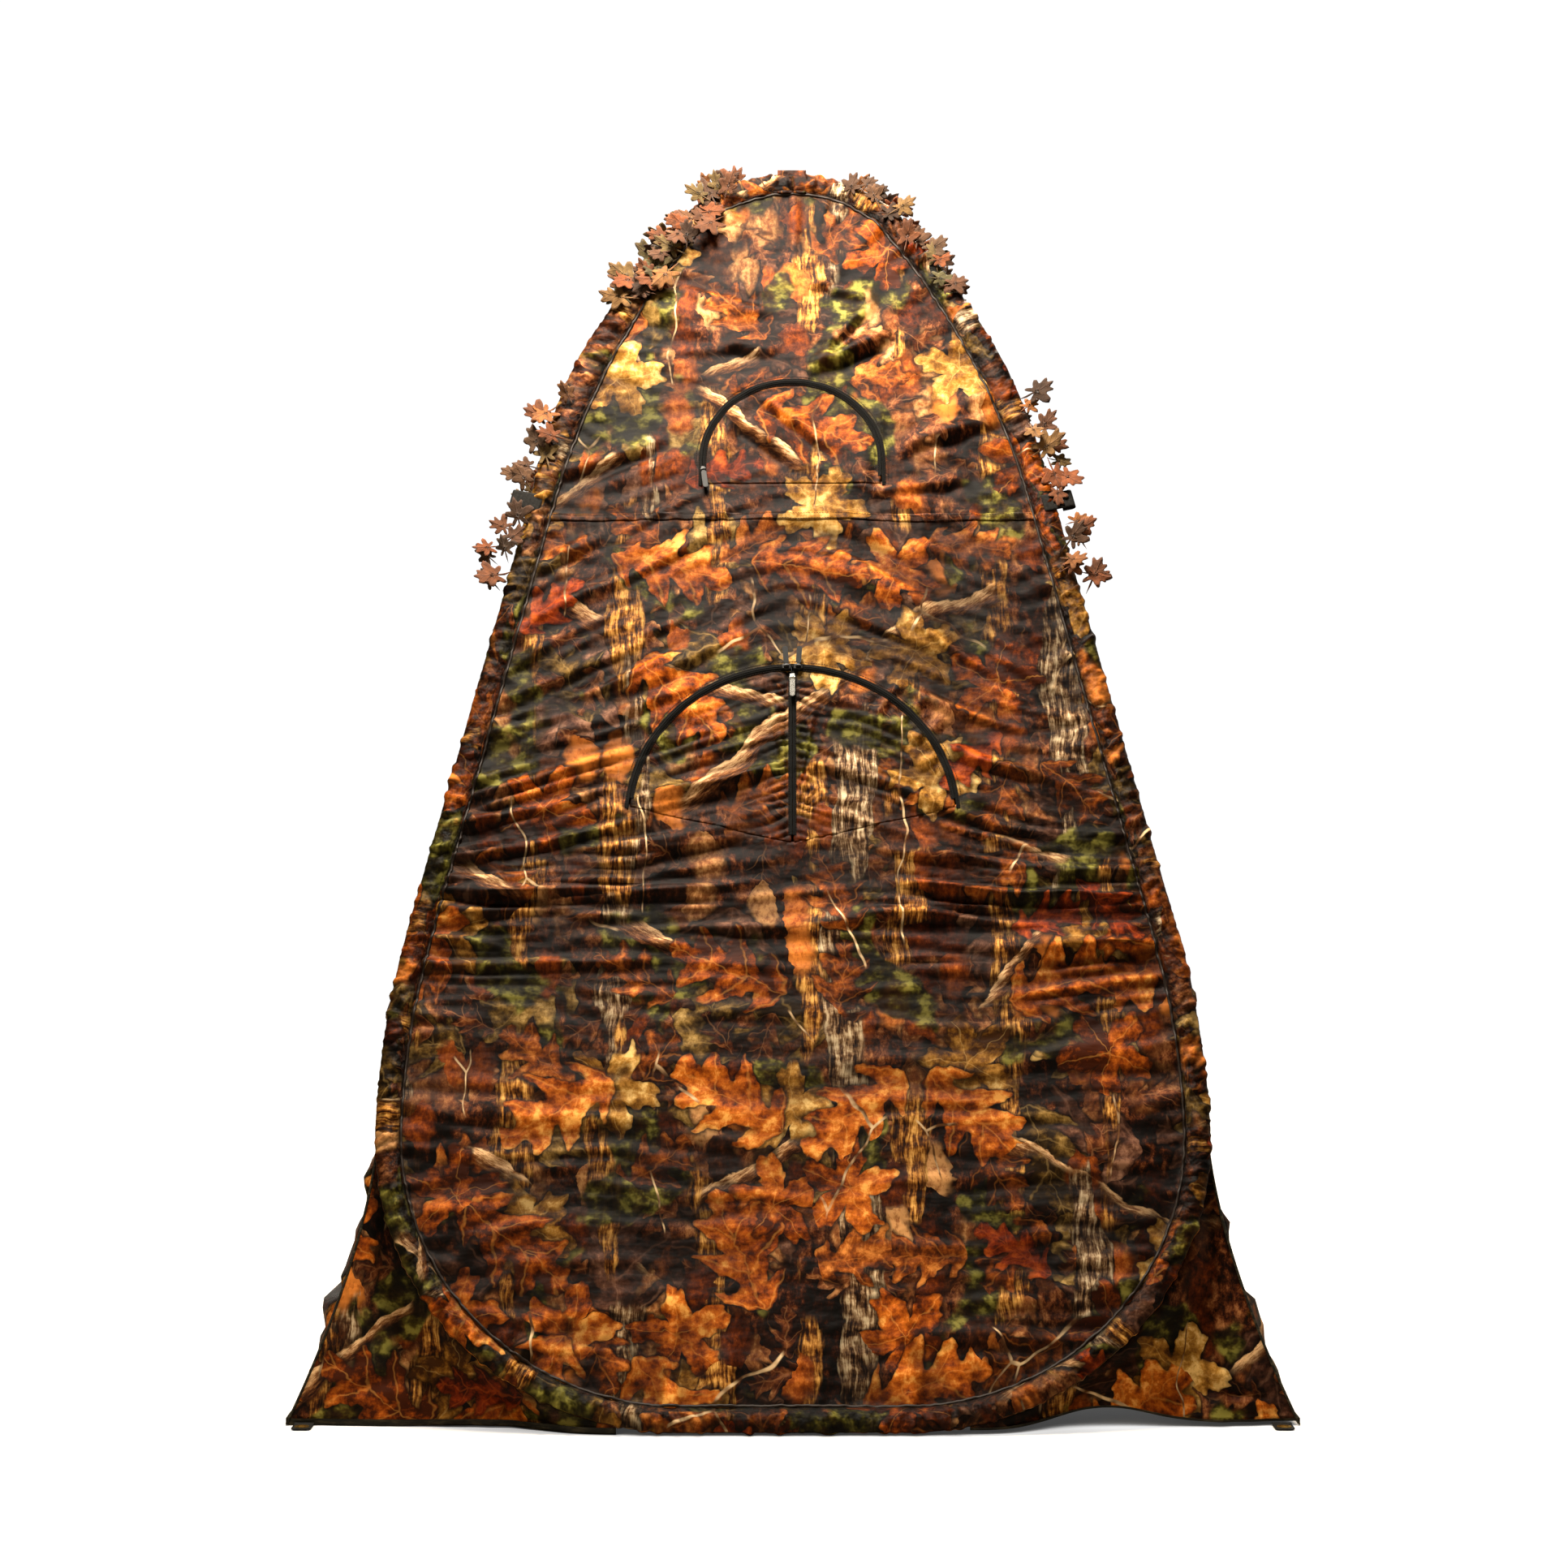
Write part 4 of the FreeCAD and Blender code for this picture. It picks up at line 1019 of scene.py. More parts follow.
def front_sheets():
    def above(w, s):
        return in_upper_window(w, s, FABRIC_BACK)

    def below(w, s):
        return in_lower_window(w, s, FABRIC_BACK)

    panel_pair("front", front_cloth, FRONT_STEP, FRONT_PRINT, above, below)
    box = ((-UPPER_RADIUS, UPPER_FOLD_S - FRONT_STEP), (UPPER_RADIUS, UPPER_CENTRE_S + UPPER_RADIUS))
    flap_sheet("upper_flap", in_upper_flap, box, FRONT_STEP, front_cloth, rise=FLAP_RISE)
    for word, side in FACING:
        low, high = sorted((0.0, side * LOWER_RADIUS))
        box = ((low, LOWER_FOLD_MID_S - FRONT_STEP), (high, LOWER_CENTRE_S + LOWER_RADIUS))

        def inside(w, s):
            return in_lower_flap(w, s, side)

        flap_sheet("lower_flap_" + word, inside, box, FLAP_STEP, front_cloth, rise=FLAP_RISE)


def rear_sheets():
    def above(w, s):
        return np.full(np.shape(w), -1.0)

    def below(w, s):
        return np.maximum(in_door_flap(w, s, 1, gap=-0.001), in_door_flap(w, s, -1, gap=-0.001))

    panel_pair("rear", rear_cloth, REAR_STEP, REAR_PRINT, above, below)
    for word, facing in FACING:
        side = -facing
        low, high = sorted((0.0, side * DOOR_HALF))
        box = ((low, DOOR_BASE_S - REAR_STEP), (high, DOOR_TOP_S))

        def inside(w, s):
            return in_door_flap(w, s, side)

        flap_sheet("door_flap_" + word, inside, box, REAR_STEP, rear_cloth, REAR_PRINT)


SEAM_HALF = 0.006
BINDING_HALF = 0.0017


def seam_tape(wall, place, shift):
    """The felled seam across a wall, a strip over the panels' join."""
    half = SEAM_HALF

    def inside(w, s):
        return np.minimum(in_panel(w, s), half - np.abs(s - SEAM_S))

    w, s, faces = sheet_grid((-HOOP_WIDE, SEAM_S - half), (HOOP_WIDE, SEAM_S + half), 0.003, inside)
    rise = 0.0011 - 0.0006 * (np.abs(s - SEAM_S) / half) ** 2
    uv = stack(w + shift[0], s + shift[1])
    # painted shade along the strip's lower edge
    shade = 0.35 * (s < SEAM_S - 0.004)
    piece = build(wall + "_seam_strip", place(w, s, rise), faces, uv, thick=CLOTH_THICK, shade=shade)
    fit(piece, wall + "_wall", "sleeve_fabric", PRINT, wall + "_seam_tape")


# ---- sleeves --------------------------------------------------------------------------------------
SHOULDER_S = 1.47
SHOULDER_REACH = 0.14
SLEEVE_TURNS = 18
SLEEVE_RISE = 0.0078
GATHER_PITCH = 0.0125
SMALL_GATHER_PITCH = 0.0075
GATHER_RISE = 0.0100


def sleeve(wall, place, seed, shift, step, plump):
    """The gathered channel round a hoop: a flattened tube, drawn in at its inner seam. plump is how much
    further out it stands at each shoulder, left and right."""
    count = int(2 * HALF_LENGTH / step)
    station = -HALF_LENGTH + 2 * HALF_LENGTH * np.arange(count) / count
    turns = np.arange(SLEEVE_TURNS) / SLEEVE_TURNS * 2 * np.pi
    t, a = np.meshgrid(station, turns, indexing="ij")
    gather = ripple(t / GATHER_PITCH + 0.5 * np.cos(a), np.cos(a) * 0.8 + 3.3, seed)
    small = ripple(t / SMALL_GATHER_PITCH, np.cos(a) * 1.6, seed + 1)
    slow = noise(t / 0.11, 0.4, seed + 2)
    swell = GATHER_RISE * gather + 0.0028 * small + 0.0020 * slow
    half_width = SLEEVE_WIDTH / 2
    inset = half_width * (1 + np.cos(a)) - swell * np.maximum(-np.cos(a), 0) * 0.45
    shoulder = bell(np.abs(t) - station_at(SHOULDER_S), SHOULDER_REACH) * np.where(t < 0, plump[0], plump[1])
    inset = inset - shoulder * smooth(-np.cos(a), -0.9, 0.2)
    fade = 0.35 + 0.65 * (1 - bell(inset - SLEEVE_WIDTH, 0.006))
    height = (SLEEVE_RISE * np.sin(a) + swell * np.sin(a)) * fade
    w, s = outline(t, inset)[:2]
    faces = grid_faces(count, len(turns), close_rows=True, close_columns=True)
    around = np.sin(a / 2) * 0.05 * np.sign(np.pi - a) + 0.05
    uv = stack(t * 0.93 + shift[0], around + shift[1])
    # painted shade: a painted shadow along the inner seam and darker valleys between the gathers
    seam = np.exp(-((SLEEVE_WIDTH - inset) / 0.0045) ** 2)
    shade = 1 - (1 - 0.85 * seam) * (1 - 0.80 * smooth(-gather, -0.12, 0.26))
    piece = build(wall + "_sleeve_cloth", place(w, s, height), faces, uv, shade=shade)
    fit(piece, wall + "_wall", "sleeve_fabric", PRINT_SLEEVE, wall + "_sleeve")


def seam_binding(wall, place):
    """Dark binding where the panel is sewn to the sleeve, pushed about by the gathers."""
    station = np.arange(-HALF_LENGTH, HALF_LENGTH, 0.0025)
    half = BINDING_HALF
    t, off = np.meshgrid(station, np.array([-half, 0.0, half]), indexing="ij")
    wave = 0.0016 * ripple(t / 0.012, 0.5, 77) + 0.0008 * noise(t / 0.006, 1.5, 78)
    w, s = outline(t, SLEEVE_WIDTH + 0.0014 + off + wave)[:2]
    uv = stack(t, off)
    faces = grid_faces(len(station), 3, close_rows=True)
    height = 0.0016 - 0.0006 * (off / half) ** 2
    piece = build(wall + "_seam_binding", place(w, s, height), faces, uv, thick=0.0005)
    fit(piece, wall + "_wall", "sleeve_fabric", THREAD)


# ---- zips -----------------------------------------------------------------------------------------------
ZIP_PITCH = 0.0024


def arch_path(centre, radius, low_s):
    """Places and outward directions along a round-topped arch, from its left foot over to its right."""
    legs = max(centre - low_s, 0.0)
    first = math.asin(max((low_s - centre) / radius, 0.0))
    length = 2 * legs + radius * (math.pi - 2 * first)
    along = np.linspace(0.0, length, int(length / (ZIP_PITCH / 2)) + 1)
    angle = math.pi - first - np.clip(along - legs, 0, length - 2 * legs) / radius
    down = np.maximum(legs - along, 0) + np.maximum(along - (length - legs), 0)
    w, s = radius * np.cos(angle), centre + radius * np.sin(angle) - down
    return (w, s), (np.cos(angle), np.sin(angle))


def upright_path(low_s, high_s):
    s = np.arange(low_s, high_s, ZIP_PITCH / 2)
    return (np.zeros_like(s), s), (np.ones_like(s), np.zeros_like(s))


def half_zip(path, out, side, place, keep=None):
    """One tape of a zip with its coil. side +1 lies on the outward side of the zip line."""
    (w, s), (out_w, out_s) = path, out
    if keep is not None:
        chosen = keep(w, s)
        w, s, out_w, out_s = w[chosen], s[chosen], out_w[chosen], out_s[chosen]
    tooth = (np.arange(len(w)) % 2)[:, None]
    offsets = np.array([0.2, 5.3, 5.3, 2.5, 2.0, 1.3, 0.6, 0.2]) * 0.001
    heights = np.array([0.6, 0.6, 1.1, 1.2, 2.1, 2.7, 2.6, 2.0]) * 0.001
    coil = np.array([0.0, 0.0, 0.0, 0.0, 1.0, 1.0, 1.0, 0.6]) * 0.00045
    points, faces = sweep((w, s), (out_w, out_s), side * offsets, heights - coil * tooth, place)
    station = np.arange(len(w))[:, None] * ZIP_PITCH / 2
    uv = np.stack(np.broadcast_arrays(station, offsets * 1.0), axis=-1)
    return points, faces, uv


def zip_piece(name, body, node, parts):
    piece = build(name, *joined(parts))
    fit(piece, body, "zip_tape", ZIP_TAPE, node)


UPPER_ARCH = arch_path(UPPER_CENTRE_S, UPPER_RADIUS, UPPER_FOLD_S - TAPE_WIDTH)
LOWER_ARCH = arch_path(LOWER_CENTRE_S, LOWER_RADIUS, LOWER_FOLD_END_S - TAPE_WIDTH)


def front_zips():
    zip_piece("upper_zip_band", "front_wall", "upper_zip_tape", [half_zip(*UPPER_ARCH, 1, front_cloth)])
    part = half_zip(*UPPER_ARCH, -1, front_cloth, lambda w, s: s > UPPER_FOLD_S + TAPE_OFF_FOLD)
    zip_piece("upper_flap_band", "upper_flap", "upper_flap_tape", [part])
    zip_piece("lower_zip_band", "front_wall", "lower_zip_tape", [half_zip(*LOWER_ARCH, 1, front_cloth)])
    top = LOWER_CENTRE_S + LOWER_RADIUS - TAPE_WIDTH
    upright = upright_path(LOWER_FOLD_MID_S + TAPE_OFF_FOLD, top)
    for word, side in FACING:
        def on_flap(w, s):
            return (left_of(w, s, *lower_fold(side)) > TAPE_OFF_FOLD) & (side * w > 0.0006)

        parts = [half_zip(*LOWER_ARCH, -1, front_cloth, on_flap), half_zip(*upright, side, front_cloth)]
        zip_piece(f"lower_flap_{word}_band", "lower_flap_" + word, f"lower_flap_{word}_tape", parts)


def rear_zips():
    upright = upright_path(DOOR_BASE_S + 0.0008, DOOR_TOP_S)
    for word, facing in FACING:
        side = -facing
        def on_flap(w, s):
            return left_of(w, s, *door_fold(side)) > TAPE_OFF_FOLD

        part = half_zip(*upright, side, rear_cloth, on_flap)
        zip_piece(f"door_flap_{word}_band", "door_flap_" + word, f"door_flap_{word}_tape", [part])
    parts = []
    below = (DOOR_BASE_S - DOOR_PARK, DOOR_BASE_S - 0.0008)
    above = (DOOR_TOP_S + 0.0008, DOOR_TOP_S + DOOR_PARK)
    for low, high in (below, above):
        for side in (-1, 1):
            parts.append(half_zip(*upright_path(low, high), side, rear_cloth))
    zip_piece("door_band_ends", "rear_wall", "door_tape_ends", parts)


# ---- stitches -------------------------------------------------------------------------------------------
def stitch_row(w, s, place, rise=0.0006, pitch=0.0036, length=0.0024, half=0.00035):
    """A row of thread stitches along a line of points."""
    along = np.concatenate([[0.0], np.cumsum(np.hypot(np.diff(w), np.diff(s)))])
    middle = np.arange(pitch, along[-1] - pitch, pitch)
    if len(middle) < 2:
        return np.zeros((0, 3)), [], np.zeros((0, 2))
    mw, ms = np.interp(middle, along, w), np.interp(middle, along, s)
    dw, ds = np.interp(middle + 0.001, along, w) - mw, np.interp(middle + 0.001, along, s) - ms
    size = np.maximum(np.hypot(dw, ds), 1e-9)
    dw, ds = dw / size, ds / size
    ends = np.array([-1.0, -0.5, 0.5, 1.0]) * length / 2
    lift = np.array([-0.4, 1.0, 1.0, -0.4]) * half
    side = np.array([-1.0, 1.0, 0.0]) * half
    up = np.array([0.0, 0.0, 1.0]) * half
    w3 = mw[:, None, None] + dw[:, None, None] * ends[:, None] - ds[:, None, None] * side
    s3 = ms[:, None, None] + ds[:, None, None] * ends[:, None] + dw[:, None, None] * side
    n3 = np.broadcast_to(rise + lift[:, None] + up, w3.shape)
    points = place(w3, s3, n3).reshape(-1, 3)
    one = grid_faces(4, 3, close_columns=True) + [[0, 1, 2], [11, 10, 9]]
    faces = [[k + 12 * i for k in face] for i in range(len(mw)) for face in one]
    uv = stack(w3, s3).reshape(-1, 2)
    return points, faces, uv


def offset_row(path, out, offset, place, keep=None, **options):
    w, s = path[0] + out[0] * offset, path[1] + out[1] * offset
    if keep is not None:
        chosen = keep(path[0], path[1])
        w, s = w[chosen], s[chosen]
    return stitch_row(w, s, place, **options)


def stitches(name, body, rows):
    piece = build(name, *joined(rows), flat=True)
    fit(piece, body, "sleeve_fabric", THREAD)


def sleeve_row(place):
    """The long stitches that hold a sleeve to its panel."""
    station = np.arange(-HALF_LENGTH, HALF_LENGTH, 0.004)
    w, s = outline(station, SLEEVE_WIDTH + 0.0025)[:2]
    return stitch_row(w, s, place, pitch=0.0042, length=0.0028)


def seam_rows(place):
    w = np.arange(-0.47, 0.47, 0.004)
    w = w[in_panel(w, SEAM_S) > 0.006]
    return [stitch_row(w, np.full_like(w, SEAM_S + off), place, rise=0.0015) for off in (-0.004, 0.004)]


# distance from the zip line and height over the cloth of each row on a flap
FLAP_ROWS = ((0.0045, 0.0013), (0.0095, 0.0005))
STITCH_OFF_FOLD = 0.009


def front_stitches():
    rows = seam_rows(front_cloth)
    rows.append(sleeve_row(front_cloth))
    for path in (UPPER_ARCH, LOWER_ARCH):
        rows.append(offset_row(*path, 0.0045, front_cloth, rise=0.0013))
        rows.append(offset_row(*path, 0.0085, front_cloth, rise=0.0005))
    stitches("front_stitching", "front_wall", rows)
    low = UPPER_FOLD_S + STITCH_OFF_FOLD
    rows = [offset_row(*UPPER_ARCH, -off, front_cloth, lambda w, s: s > low, rise=rise)
            for off, rise in FLAP_ROWS]
    stitches("upper_flap_stitching", "upper_flap", rows)
    upright = upright_path(LOWER_FOLD_MID_S + STITCH_OFF_FOLD, LOWER_CENTRE_S + LOWER_RADIUS - 0.012)
    for word, side in FACING:
        def on_flap(w, s):
            return (left_of(w, s, *lower_fold(side)) > STITCH_OFF_FOLD) & (side * w > 0.012)

        rows = []
        for off, rise in FLAP_ROWS:
            rows.append(offset_row(*LOWER_ARCH, -off, front_cloth, on_flap, rise=rise))
            rows.append(offset_row(*upright, side * off, front_cloth, rise=rise))
        stitches(f"lower_flap_{word}_stitching", "lower_flap_" + word, rows)


def rear_stitches():
    stitches("rear_stitching", "rear_wall", [*seam_rows(rear_cloth), sleeve_row(rear_cloth)])
    upright = upright_path(DOOR_BASE_S + 0.004, DOOR_TOP_S - 0.03)
    for word, facing in FACING:
        side = -facing
        rows = [offset_row(*upright, side * off, rear_cloth, rise=rise)
                for off, rise in FLAP_ROWS]
        stitches(f"door_flap_{word}_stitching", "door_flap_" + word, rows)


# ---- side walls -----------------------------------------------------------------------------------------
def flare_width(z, inset=SIDE_INSET):
    widest = HOOP_WIDE - inset
    foot = BASE_HALF - (inset - SIDE_INSET)
    return widest + (foot - widest) * np.clip(1.0 - z / FLARE_TOP, 0.0, 1.0) ** FLARE_POWER


def behind_wall_y(z, n):
    return -WALL_Y + (z - WALL_Z) * SIN / COS - n / COS


def front_edge_y(z):
    """Where a side wall's front edge lies: at the ground corner, then behind the sleeve."""
    behind = behind_wall_y(z, -0.0045)
    knee = behind_wall_y(FLARE_TOP, -0.0055)
    low = -CORNER_Y + (knee + CORNER_Y) * z / FLARE_TOP
    return np.where(z < FLARE_TOP, low, behind)


def side_profile(step):
    """Half-width and height of a side wall from the ground to the crown, with its length so far."""
    z = np.arange(HEM_HEIGHT - 0.001, FLARE_TOP, step)
    station = np.arange(SIDE_STATION, HALF_LENGTH, step)
    w, s = outline(station, SIDE_INSET)[:2]
    x = np.concatenate([flare_width(z), w, [0.0]])
    height = np.concatenate([z, WALL_Z + s * COS, [WALL_Z + (HOOP_TOP - SIDE_INSET) * COS]])
    length = np.concatenate([[0.0], np.cumsum(np.hypot(np.diff(x), np.diff(height)))])
    return x, height, length


def side_walls():
    x, z, length = side_profile(0.011)
    columns = 73
    share = np.linspace(0.0, 1.0, columns)
    middle = 4 * share * (1 - share)
    spread = np.stack([np.gradient(x), np.gradient(z)])
    spread = spread / np.hypot(*spread)
    for word, side in FACING:
        y = front_edge_y(z)[:, None] * (1 - 2 * share)
        seed = 81 + 10 * side
        v = length[:, None] + 0.0 * y
        tall = smooth(z, 0.02, 0.35) * (1 - smooth(z, 1.2, 1.6))
        sag = 0.022 * tall[:, None] * middle
        edge = np.minimum(share, 1 - share) * 2 * np.abs(y[:, :1])
        folds = 0.022 * ripple(y / 0.30, (v + 0.2 * np.abs(y)) / 0.055, seed)
        folds = folds + 0.0090 * ripple(y / 0.1, v / 0.026, seed + 1)
        pull = 0.0130 * ripple(v / 0.024, y / 0.2, seed + 2) * np.exp(-edge / 0.05)
        upright = 0.022 * ripple(y / 0.085, v / 0.5, seed + 3) * (1 - smooth(z, 0.05, 0.5))[:, None]
        off = (folds + pull + upright) * smooth(edge, 0.0, 0.02)
        off = off * (0.25 + 0.75 * smooth(z, 0.0, 0.08))[:, None]
        off = off * smooth(1.0 - z / z.max(), 0.0, 0.08)[:, None]
        # painted shade in the valleys of the folds
        shade = 0.5 * smooth(-off, -0.002, 0.009)
        off = off - sag
        px = side * (x[:, None] + off * spread[1][:, None])
        pz = z[:, None] - off * spread[0][:, None] * 0.6
        points = stack(px, y, pz).reshape(-1, 3)
        uv = stack(y * side + 5.3 + 2 * side, v)
        faces = grid_faces(len(x), columns)
        if side > 0:
            faces = [face[::-1] for face in faces]
        piece = build("side_cloth_" + word, points, faces, uv, thick=CLOTH_THICK, shade=shade)
        node = "side_wall_" + word
        fit_across(piece, np.broadcast_to(share, y.shape), "camo_fabric", PRINT, node)


def side_hems():
    """Coated strip along each side wall's foot."""
    columns = 161
    share = np.linspace(0.0, 1.0, columns)
    heights = np.array([0.0, 0.25, 0.5, 0.75, 1.0]) * (HEM_HEIGHT - 0.0004)
    for word, side in FACING:
        y, z = np.meshgrid(CORNER_Y * (2 * share - 1), heights, indexing="ij")
        wave = 0.0022 * noise(y / 0.06, z / 0.02, 91 + side) * smooth(CORNER_Y - np.abs(y), 0.0, 0.05)
        points = stack(side * (BASE_HALF - 0.0007 + wave * (z / HEM_HEIGHT)), y, z)
        faces = grid_faces(columns, len(heights))
        piece = build("side_hem_strip_" + word, points, faces, stack(y, z), thick=0.0009)
        across = np.repeat(share, len(heights))
        fit_across(piece, across, "ground_hem", HEM, "side_hem_" + word)


# ---- gussets and front hems --------------------------------------------------------------------------------
def gusset_plane(x, z):
    """World y of the gusset's plane, which hangs from the hoop to the ground corner."""
    knee_x = HOOP_WIDE - SIDE_INSET
    knee_y = behind_wall_y(FLARE_TOP, -0.0100)
    along = (GUSSET_INNER_Y - CORNER_Y) / (BASE_HALF - GUSSET_INNER_W)
    foot_y = -CORNER_Y - along * (BASE_HALF - knee_x)
    rise = (knee_y - foot_y) / FLARE_TOP
    return -CORNER_Y - along * (BASE_HALF - x) + rise * z


def hem_lift(x, corner):
    """How far the ground edge lifts between the hoop's foot and one corner."""
    tall = {"front_right": 0.019, "front_left": 0.002, "rear_left": 0.006, "rear_right": 0.003}[corner]
    return tall * bell(x - 0.385, 0.075) * smooth(x, 0.22, 0.3)


def gusset_surface(x, z, corner, seed):
    """Front gusset cloth on the +x side: returns y and the height after the hem's lift."""
    outside = np.maximum(-in_hoop(x, (z - WALL_Z) / COS), 0.0)
    plane = gusset_plane(x, z)
    behind = behind_wall_y(z, -0.0030)
    y = behind + (plane - behind) * smooth(outside, 0.0, 0.05)
    free = smooth(outside, 0.005, 0.05) * smooth(BASE_HALF + 0.05 - x, 0.04, 0.09)
    big = 2.0 if corner == "front_right" else 1.0
    ray = np.arctan2(z - 0.02, BASE_HALF + 0.03 - x)
    folds = 0.0065 * big * ripple(ray / 0.16, np.hypot(z, BASE_HALF - x) / 0.2, seed)
    folds = folds + 0.004 * big * ripple(x / 0.05 + z / 0.1, z / 0.12, seed + 1)
    folds = folds + 0.0012 * noise(x / 0.014, z / 0.014, seed + 2)
    edge = flare_width(z) - x
    y = y - folds * free * smooth(edge, 0.0, 0.03)
    joined_on = 1 - smooth(edge, 0.0, 0.05)
    y = y + (front_edge_y(z) - 0.0010 - y) * joined_on
    lifted = z + hem_lift(x, corner) * (1 - smooth(z, 0.0, 0.11))
    return y, lifted


# each wall, and 1 where its own side of the part has y below 0
WALLS = (("front", 1), ("rear", -1))
CORNERS = (("front_right", 1, 1), ("front_left", -1, 1), ("rear_left", -1, -1), ("rear_right", 1, -1))


def gussets():
    def inside(x, z):
        hoop = -in_hoop(x, (z - WALL_Z) / COS) + 0.020
        side = flare_width(z) - 0.0002 - x
        return np.minimum(np.minimum(hoop, side), np.minimum(x - HEM_INNER, z - HEM_HEIGHT + 0.001))

    x, z, faces = sheet_grid((HEM_INNER, 0.0), (BASE_HALF, FLARE_TOP), 0.006, inside)
    for index, (corner, side_x, side_y) in enumerate(CORNERS):
        y, lifted = gusset_surface(x, z, corner, 101 + 7 * index)
        points = stack(side_x * x, side_y * y, lifted)
        turned = faces if side_x * side_y > 0 else [face[::-1] for face in faces]
        uv = stack(side_x * x + 7.7 + 0.9 * index, z + 0.4 * index)
        wall, word = corner.split("_")
        # painted shadow on the gusset just outside the hoop, where the sleeve stands in front of it
        outside = np.maximum(-in_hoop(x, (z - WALL_Z) / COS), 0.0)
        shade = 0.8 * np.exp(-outside / 0.020)
        name = f"{wall}_gusset_cloth_{word}"
        piece = build(name, points, turned, uv, thick=CLOTH_THICK, shade=shade)
        fit(piece, wall + "_wall", "camo_fabric", PRINT, f"{wall}_gusset_{word}")


def ground_hems():
    """Coated strip under each gusset; under the lifted front corner it is rolled behind the cloth."""
    for wall, side_y in WALLS:
        parts = []
        for index, (corner, side_x, own_y) in enumerate(CORNERS):
            if own_y != side_y:
                continue
            x = np.linspace(HEM_INNER, BASE_HALF - 0.0016, 90)
            share = np.linspace(0.0, 1.0, 5)
            xx, up = np.meshgrid(x, share, indexing="ij")
            rolled = 0.45 if corner == "front_right" else 1.0
            z = up * HEM_HEIGHT * rolled + (1 - rolled) * HEM_HEIGHT + hem_lift(xx, corner)
            y, _ = gusset_surface(xx, np.full_like(xx, HEM_HEIGHT), corner, 101 + 7 * index)
            y = y + 0.0008 + 0.0015 * noise(xx / 0.05, 0.3, 95 + index) * (1 - up)
            points = stack(side_x * xx, side_y * y, z)
            faces = grid_faces(len(x), 5)
            parts.append((points, faces, stack(xx, z)))
        piece = build(wall + "_hem_strip", *joined(parts), thick=0.0009)
        fit(piece, wall + "_wall", "ground_hem", HEM, wall + "_hem")


CORD_RADIUS = 0.0019
CORD_TURNS = 8


def corner_piping():
    """Corded seam down each flared corner, from the hoop's knee to the ground."""
    z = np.arange(0.002, FLARE_TOP + 0.02, 0.006)
    turns = np.arange(CORD_TURNS) / CORD_TURNS * 2 * np.pi
    for wall, side_y in WALLS:
        parts = []
        for side_x in (-1, 1):
            x = flare_width(z) - 0.0006
            y = front_edge_y(np.minimum(z, FLARE_TOP - 0.001)) - 0.0006
            px = side_x * (x[:, None] + CORD_RADIUS * np.cos(turns))
            py = side_y * (y[:, None] + CORD_RADIUS * np.sin(turns))
            pz = np.broadcast_to(z[:, None], px.shape)
            count = len(z) * CORD_TURNS
            caps = [list(range(CORD_TURNS)), list(range(count - CORD_TURNS, count))]
            faces = grid_faces(len(z), CORD_TURNS, close_columns=True) + caps
            parts.append((stack(px, py, pz), faces, stack(px, pz)))
        piece = build(wall + "_corner_piping", *joined(parts))
        fit(piece, wall + "_wall", "ground_hem", HEM)


# ---- leaf strips ---------------------------------------------------------------------------------
LEAF_TURNS = (0, 8, 15, 24, 33, 38, 43, 55, 66, 78, 88, 99, 115, 124, 136, 146, 158, 168, 174, 180)
LEAF_REACH = (0.52, 0.45, 0.34, 0.41, 0.47, 0.38, 0.23, 0.24, 0.41, 0.46, 0.36, 0.19, 0.17, 0.33, 0.37, 0.25,
              0.11, 0.10, 0.26, 0.50)


def leaf_radius(angle, bend, fat):
    """Outline of a cut oak leaf in polar form, tip at angle 0 and stem behind, for a leaf 1 long."""
    turn = np.degrees(np.abs((angle + np.pi) % (2 * np.pi) - np.pi))
    side = 1 + bend * np.sin(angle) + 0.10 * np.sin(3 * angle + 5 * bend)
    reach = np.interp(turn, LEAF_TURNS, LEAF_REACH)
    return (reach + fat * (0.40 - reach) * (turn < 150)) * side


def cut_leaf(rng, length):
    """One curled cloth leaf, tip along +x, as points and faces."""
    spokes, rings = 60, 5
    angle = np.arange(spokes) / spokes * 2 * np.pi
    radius = leaf_radius(angle, rng.uniform(-0.22, 0.22), rng.uniform(0.0, 0.35)) * length
    share = np.linspace(0.12, 1.0, rings)[:, None]
    x, y = share * radius * np.cos(angle), share * radius * np.sin(angle)
    curl, cup, twist = rng.uniform(-3, 7), rng.uniform(-6, 10), rng.uniform(-9, 9)
    z = curl * x ** 2 + cup * y ** 2 + twist * x * y - 0.10 * np.abs(y)
    z = z + 0.0022 * noise(x / 0.011 + 9 * rng.random(), y / 0.011, 7)
    points = stack(x, 0.84 * y, z).reshape(-1, 3)
    points = np.concatenate([points, [[0.0, 0.0, 0.0]]])
    faces = grid_faces(rings, spokes, close_columns=True)
    faces += [[rings * spokes, (k + 1) % spokes, k] for k in range(spokes)]
    return points, [face[::-1] for face in faces]


